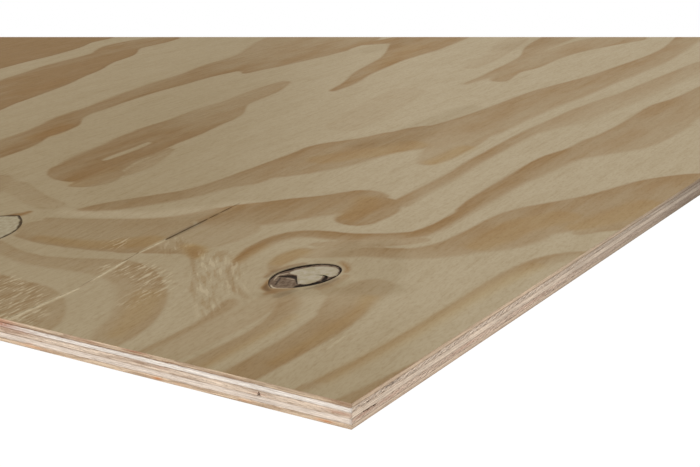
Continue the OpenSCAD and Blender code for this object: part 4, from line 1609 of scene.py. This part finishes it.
def disc(shell, ring, radii, relief, values, floor, room):
    """Adds a closed disc. Ring has the outline's places, counterclockwise. A point on top is
    the middle plus its share of the way to the outline, lowered by the relief there."""
    middle = ring.mean(axis=0)
    shares = np.asarray(radii)[:, None, None]
    flat = (middle + shares * (ring - middle)).reshape(-1, 2)
    flat = np.vstack([middle, flat])
    share = np.concatenate([[0], np.repeat(radii, len(ring))])
    place_on_map = (flat - ring.min(axis=0)) / np.ptp(ring, axis=0)
    count = len(ring)
    own = values(flat[:, 0], flat[:, 1], share)
    points = in_frame(flat[:, 0], flat[:, 1], top - relief(flat[:, 0], flat[:, 1], share))
    numbers = shell.put(points, own)
    rings = numbers[1:].reshape(len(radii), count)
    room_low, room_high = room
    tall = room_high - room_low
    top_map = [DISC_LEFT, room_low + TOP_FOOT * tall] + place_on_map * [DISC_WIDE, TOP_TALL * tall]
    low_map = [DISC_LEFT, room_low] + place_on_map * [DISC_WIDE, LOW_TALL * tall]
    fan = np.stack([np.full(count, numbers[0]), rings[0], np.roll(rings[0], -1)], axis=-1)
    shell.skin(fan, top_map[fan - numbers[0]])
    for inner, outer in zip(rings[:-1], rings[1:]):
        faces = np.stack([inner, outer, np.roll(outer, -1), np.roll(inner, -1)], axis=-1)
        shell.skin(faces, top_map[faces - numbers[0]])
    keep = {key: value[-count:] for key, value in own.items()}
    low = shell.put(in_frame(ring[:, 0], ring[:, 1], floor), keep)
    bottom = shell.put(in_frame(*middle, floor), {key: value[:1] for key, value in keep.items()})
    start, end = np.arange(count) / count, np.arange(1, count + 1) / count
    wall_room = (room_low + WALL_FOOT * tall, room_low + WALL_HEAD * tall)
    shell.skin(ring_faces(low, rings[-1]), map_cells(start, end, *wall_room))
    back = np.stack([np.full(count, bottom[0]), np.roll(low, -1), low], axis=-1)
    low_ring = low_map[-count:]
    corners = np.stack([np.tile(low_map[0], (count, 1)), np.roll(low_ring, -1, axis=0), low_ring], 1)
    shell.skin(back, corners)


def lens_ring(knot, count, inset):
    """The knot's outline as places on the sheet, shrunk by the inset."""
    angle = np.arange(count) / count * 2 * math.pi
    return np.stack(turned(knot, *lens_point(knot, angle, inset)), axis=-1)


def closed_curve(points, pieces):
    """A smooth closed outline through a few given points."""
    table = np.array([(*point, 0) for point in points], float)
    looped = np.vstack([table[-2:], table, table[:3]])
    curve = smooth_line(looped, pieces)[:, :2]
    return curve[2 * pieces:2 * pieces + len(points) * pieces]


SEAT = 0.15
KNOT_FLOOR = ply_floor["face_veneer"] + 0.25
print("knots sit", SEAT, "mm clear of the face")

# %% [markdown]
# Bark doesn't follow a smooth line: it is a crust of changing thickness. So the black line
# is a stroke along the outline, whose width is read from a few angles, and the hollows
# beside the leftover wood are strokes of their own, painted black as shade. Where it is
# black, it also lies deep.

# %% Bark, painted shade in the hollows, and splinters of the barked knot
# Half the width of the black line round the knot, by the outline's own angle in degrees: 0 is
# the blunt end, 90 the upper side, 180 the point and -90 the lower side
BARK_LINE = [(180, 0.1), (165, 0.2), (150, 0.4), (135, 0.6), (120, 0.8), (105, 1.0), (90, 1.2),
             (75, 1.8), (60, 2.0), (45, 1.5), (30, 1.3), (15, 1.2), (0, 1.1), (-15, 0.9),
             (-30, 0.8), (-45, 0.7), (-60, 0.8), (-75, 1.2), (-90, 1.8), (-105, 2.1), (-120, 2.2),
             (-135, 1.5), (-150, 0.4), (-165, 0.1), (-180, 0.1)]
BARK_AND_HOLLOW_SHADE = {
    # The voids, the crack and the splinter gap are painted shade: black where the hollows lie in shade
    "upper void": (1.0, [(156, 152, 0.7), (158, 149.8, 1.7), (160.2, 147, 2.5), (161, 144, 2.6),
        (160, 141.5, 2.1), (158.6, 139.3, 1)]),
    "lower void": (1.0, [(143.5, 130.5, 1.3), (147, 130.3, 2), (151, 128.8, 2), (156, 125.5, 2),
        (161, 123.2, 1.6)]),
    "crack": (0.9, [(164, 122.5, 1.3), (168, 123.6, 1.5), (172, 125, 1.2), (175, 127, 0.5)]),
    "splinter gap": (0.6, [(141, 144.5, 0.3), (147, 147, 0.5), (154, 149.5, 0.5)]),
    "wood end": (0.7, [(150, 133.2, 0.5), (154, 136.4, 0.7), (158, 139.6, 0.9)]),
}
PALE_RIM = {
    "nose rim": (0.9, [(139.5, 133.6, 0.3), (136.8, 137.2, 0.6), (135.2, 141, 0.75), (136.6, 144.4, 0.5),
        (139, 146.6, 0.25)]),
    "upper rim": (0.5, [(148, 150.4, 0.3), (154, 152.6, 0.45), (160, 153.8, 0.3)]),
    "splinter": (0.75, [(156.5, 154.2, 0.3), (161, 152.4, 0.6), (165, 150.6, 0.5)]),
    "lower splinter": (0.5, [(155.6, 145.5, 0.3), (155.8, 141.5, 0.5), (156.2, 138, 0.5)]),
}
RAGGED = 0.3
KNOT_SINK = 0.3
BARK_SINK = 0.6
UNEVEN = 0.06


def outline_stroke(knot, table):
    """A stroke along a knot's outline, just inside it, from a table of half widths by angle.
    Two sines of the angle, multiplied, make its border ragged."""
    rows = np.array(sorted(table))
    degrees = np.arange(-180, 181, 4)
    angle = np.radians(degrees)
    ragged = 1 + RAGGED * np.sin(7 * angle + 1) * np.sin(16 * angle)
    half = np.interp(degrees, rows[:, 0], rows[:, 1]) * ragged
    along, across = turned(knot, *lens_point(knot, angle, half))
    return (1.0, np.stack([along, across, half], axis=-1).tolist())


BARK_AND_HOLLOW_SHADE["outline"] = outline_stroke(KNOT, BARK_LINE)


def barked_values(along, across, share):
    """Where the bark, the hollows painted black as shade, and the pale rim lie. No value depends on the
    share.
    """
    black, black_depth = stroke_values(along, across, BARK_AND_HOLLOW_SHADE)
    pale, pale_depth = stroke_values(along, across, PALE_RIM)
    return {"black": ease(black, -0.7, 0.6) * black_depth, "pale": ease(pale, -0.5, 0.4) * pale_depth,
            "place": as_vector(along, across)}


def barked_relief(along, across, share):
    """The bark and the voids lie deep, and the wood is a little uneven."""
    black = stroke_values(along, across, BARK_AND_HOLLOW_SHADE)[0]
    uneven = UNEVEN * np.sin(along * 0.9 + across * 0.6) * np.sin(across * 0.8)
    uneven = uneven * (1 - ease(share, 0.9, 1)) * (share < 1)
    return KNOT_SINK + BARK_SINK * ease(black, -0.6, 1.4) + uneven


print(len(BARK_AND_HOLLOW_SHADE), "strokes of bark and", len(PALE_RIM), "of pale wood")

# %% [markdown]
# Both knots are the same stuff seen in two states, so they share one material. A knot is a
# branch cut across: its rings run round its own middle, which a sine of the distance from
# there gives, and it is greyer and denser than the wood that grew round it.

# %% Knot wood
RING_POINTS = 220
# Black of the bark, also painted as shade into the barked knot's hollows
BLACK_BARK_AND_HOLLOW_SHADE = ((10, 6, 4), (34, 23, 15))
BROWN_BARK = ((56, 43, 28), (88, 70, 44))
SPLINTER = (206, 188, 158)
FLATTENED = 0.6


def knot_material(name, wood, dark, bark_and_shade, ring_size):
    """Knot wood: fine rings round its own middle, dark bark with black painted shade in the
    hollows, and pale splinters. Each of wood and bark has two colours, which clouds of noise
    mix."""
    material, tree, shader = new_material(name)
    place = attribute(tree, "place", "Vector")
    cloud = grain_noise(tree, place, (5.0, 2.2, 1), 3.0, 0.6)
    fine = grain_noise(tree, place, (1.6, 0.5, 1), 3.0, 0.7)
    colour = blend(tree, step(tree, cloud, 0.3, 0.7), linear(*wood), linear(*dark))
    ring = sums(tree, "SINE", times(tree, attribute(tree, "radius"), ring_size))
    colour = blend(tree, step(tree, ring, -0.2, 1.0, 0.0, 0.22), colour, linear(*dark))
    colour = blend(tree, step(tree, fine, 0.35, 0.7, 0.0, 0.35), colour, linear(*dark))
    pale = times(tree, attribute(tree, "pale"), 0.85)
    colour = blend(tree, pale, colour, linear(*SPLINTER))
    # Bark, and black painted shade in the hollows
    black = times(tree, attribute(tree, "black"), step(tree, fine, 0.1, 0.5, 0.8, 1.0))
    bark_and_shade_colour = blend(tree, step(tree, cloud, 0.4, 0.65), linear(*bark_and_shade[0]), linear(*bark_and_shade[1]))
    colour = blend(tree, black, colour, bark_and_shade_colour)
    dress(tree, shader, colour, step(tree, cloud, 0.3, 0.7, 0.7, 0.85), 0.06, fine, 0.4)
    return material


def with_radius(values, knot):
    """Adds the distance from the knot's middle, in which the length counts for less."""
    def measured(along, across, share):
        own = values(along, across, share)
        own["radius"] = np.hypot((along - knot["along"]) * FLATTENED, across - knot["across"])
        return own
    return measured


def knot_shares(rings):
    """Shares of the way to the outline, closer together towards it."""
    return np.linspace(0.02, 1, rings) ** 0.8


knot_shell = Shell()
disc(knot_shell, lens_ring(KNOT, RING_POINTS, SEAT), knot_shares(62), barked_relief,
     with_radius(barked_values, KNOT), KNOT_FLOOR, (0.0, 1.0))
barked_finish = knot_material("barked knot", (132, 113, 93), (92, 73, 57), BLACK_BARK_AND_HOLLOW_SHADE, 2.0)
knot_shell.finish("barked_knot_wood", [barked_finish], "barked_knot", "knot_wood", smooth=True)

# %% [markdown]
# A tight knot was alive when the tree grew past it: its fibres run on into the wood, it
# can't fall out, and it was sanded level with the face. Only a brown line parts the two.

# %% The tight knot
TIGHT_LINE = [(180, 0.4), (150, 0.4), (120, 0.5), (90, 0.5), (60, 0.7), (30, 1.0), (15, 1.2),
              (0, 1.3), (-15, 1.2), (-30, 1.1), (-45, 1.0), (-60, 0.9), (-75, 0.9), (-90, 0.9),
              (-105, 0.7), (-130, 0.5), (-180, 0.4)]
TIGHT_LINES = {"outline": outline_stroke(TIGHT, TIGHT_LINE)}
TIGHT_SINK = 0.06
TIGHT_DIP = 0.12


def tight_values(along, across, share):
    """Where the brown line lies. No value depends on the share."""
    black, depth = stroke_values(along, across, TIGHT_LINES)
    return {"black": ease(black, -0.9, 0.7) * depth, "pale": 0 * along,
            "place": as_vector(along, across)}


def tight_relief(along, across, share):
    """Sanded level, with a slight dip just inside the outline."""
    return TIGHT_SINK + TIGHT_DIP * ease(share, 0.96, 1.0) * (share < 1)


tight_shell = Shell()
disc(tight_shell, lens_ring(TIGHT, RING_POINTS, SEAT), knot_shares(70), tight_relief,
     with_radius(tight_values, TIGHT), KNOT_FLOOR, (0.0, 1.0))
tight_finish = knot_material("tight knot", (172, 161, 135), (152, 138, 110), BROWN_BARK, 1.3)
tight_shell.finish("tight_knot_wood", [tight_finish], "tight_knot", "tight_knot_wood", smooth=True)

# %% [markdown]
# The filler was pressed in soft and has dried: its surface lies a little low, is mottled,
# and its border follows what was left of the bark, so its outline is a smooth curve
# through a few points. In the split it is a long thin strip that has crumbled in places.

# %% Outline, relief and wear of the filler
PLUG = [(167, 151), (171.5, 150.8), (176.5, 149), (181, 146.8), (185.3, 144.2), (189, 140.2),
        (191.8, 135), (192.2, 130), (189.6, 126), (185, 123.1), (180, 121.2), (175.2, 121),
        (173, 123), (173.8, 126.4), (171, 127), (167.5, 125.6), (162.7, 125), (158.4, 126),
        (154, 128.2), (150.8, 131), (150, 132.8), (155, 136.6), (158, 138.9), (161.5, 141.2),
        (164.6, 143.8), (164.4, 146.8), (165, 149.4)]
PLUG_FLOOR_DROP = 1.6
PLUG_SINK = 0.05
PLUG_BORDER = 0.35
# Middle and reach of the places where the strip is worn thin
WORN = ((77, 10), (138, 11))


def filler_values(along, across, share):
    """The strip is worn thin in two places, which the colour shows."""
    worn = sum(np.exp(-((along - middle) / reach) ** 4) for middle, reach in WORN)
    return {"place": as_vector(along, across), "rim": ease(share, 0.86, 1.0), "strip": 0 * along,
            "worn": worn}


def plug_relief(along, across, share):
    """A little hollow, with a border that drops where it meets the bark."""
    return PLUG_SINK + PLUG_BORDER * ease(share, 0.93, 1.0)


print("the plug's outline has", len(PLUG), "points")

# %% [markdown]
# The filler in the split is one long strip. Its section is a row of seven points, five on
# top and two below, carried along the split's middle line and spread to its width.

# %% The filled part of the split
STRIP_STEP = 1.0
STRIP_ROWS = 5
STRIP_SINK = 0.04
CRUMBLED = 0.25


def filled_split(shell, floor, room):
    """A strip between the walls of the split: a grid over its top, walls and an underside,
    as one band of rows carried along the line of the split."""
    along = np.arange(SPLIT_ROW + SEAT, SPLIT["filled"], STRIP_STEP)
    across = split_line(along)
    half = split_half(along) - SEAT
    crumbled = smooth_random((len(along), STRIP_ROWS), 71, 2)
    sunk = STRIP_SINK + CRUMBLED * crumbled ** 3
    offsets = np.linspace(-1, 1, STRIP_ROWS)
    sections = [in_frame(along, across + half * offset, top - sunk[:, row])
                for row, offset in enumerate(offsets)]
    sections += [in_frame(along, across + half, floor), in_frame(along, across - half, floor)]
    grid = np.stack(sections, axis=1)
    count, rows = grid.shape[:2]
    places = (grid - [face_low[0], face_low[1], 0])[..., :2].reshape(-1, 2) / MM
    values = filler_values(places[:, 0], places[:, 1], np.zeros(len(places)))
    values["strip"] = np.ones(len(places))
    numbers = shell.put(grid.reshape(-1, 3), values).reshape(count, rows)
    ahead = np.roll(numbers, -1, axis=1)
    faces = np.stack([numbers[:-1], numbers[1:], ahead[1:], ahead[:-1]], axis=-1).reshape(-1, 4)
    u = np.linspace(0.015, 0.985, count)
    v = np.linspace(room[0], room[1] - 0.01, rows + 1)
    u_low, v_low = np.meshgrid(u[:-1], v[:-1], indexing="ij")
    u_high, v_high = np.meshgrid(u[1:], v[1:], indexing="ij")
    shell.skin(faces, map_cells(u_low, u_high, v_low, v_high))
    turn = 2 * math.pi * np.arange(rows) / rows
    spot = 0.004 * np.stack([np.cos(turn), np.sin(turn)], axis=-1)
    for end, middle in ((numbers[:1], 0.005), (numbers[-1:, ::-1], 0.995)):
        shell.skin(end, spot + [middle, room[0] + 0.02])


print("the strip is", round(SPLIT["filled"] - SPLIT_ROW - SEAT, 1), "mm long")

# %% [markdown]
# Dried filler is a paste of fine wood dust: matt and pale, cloudy where it dried unevenly,
# with dark specks and light ones. In the split it has taken up the colour of the face.

# %% Filler
FILLER_CLOUDS = ((173, 161, 139), (159, 146, 116))
STRIP_CLOUDS = ((190, 173, 141), (176, 158, 126))
DARK_SPECK = (110, 92, 74)
LIGHT_SPECK = (198, 188, 168)
STAINED_RIM = (120, 98, 76)
WORN_FILLER = (158, 138, 108)


def filler_material():
    """Dried filler: two sets of clouds, one for the plug and one for the strip, with specks."""
    material, tree, shader = new_material("filler")
    place = attribute(tree, "place", "Vector")
    cloud = grain_noise(tree, place, (7, 5, 1), 3.0, 0.6)
    speck = grain_noise(tree, place, (0.9, 0.7, 1), 3.0, 0.7)
    low, high = (linear(*part) for part in FILLER_CLOUDS)
    colour = blend(tree, step(tree, cloud, 0.35, 0.68), low, high)
    colour = blend(tree, step(tree, speck, 0.62, 0.72, 0.0, 0.55), colour, linear(*DARK_SPECK))
    colour = blend(tree, step(tree, speck, 0.4, 0.25, 0.0, 0.4), colour, linear(*LIGHT_SPECK))
    rim = times(tree, attribute(tree, "rim"), 0.3)
    colour = blend(tree, rim, colour, linear(*STAINED_RIM))
    low, high = (linear(*part) for part in STRIP_CLOUDS)
    strip = blend(tree, step(tree, cloud, 0.35, 0.6), low, high)
    worn = times(tree, attribute(tree, "worn"), 0.8)
    strip = blend(tree, worn, strip, linear(*WORN_FILLER))
    colour = blend(tree, attribute(tree, "strip"), colour, strip)
    dress(tree, shader, colour, step(tree, cloud, 0.3, 0.7, 0.7, 0.85), 0.2, speck, 0.5)
    return material


filler_shell = Shell()
disc(filler_shell, closed_curve(PLUG, 12)[::-1], knot_shares(56), plug_relief,
     filler_values, top - PLUG_FLOOR_DROP, (0.06, 1.0))
filled_split(filler_shell, KNOT_FLOOR, (0.0, 0.055))
filler_shell.finish("filler_plug_and_strip", [filler_material()], "wood_filler", "filler", smooth=True)
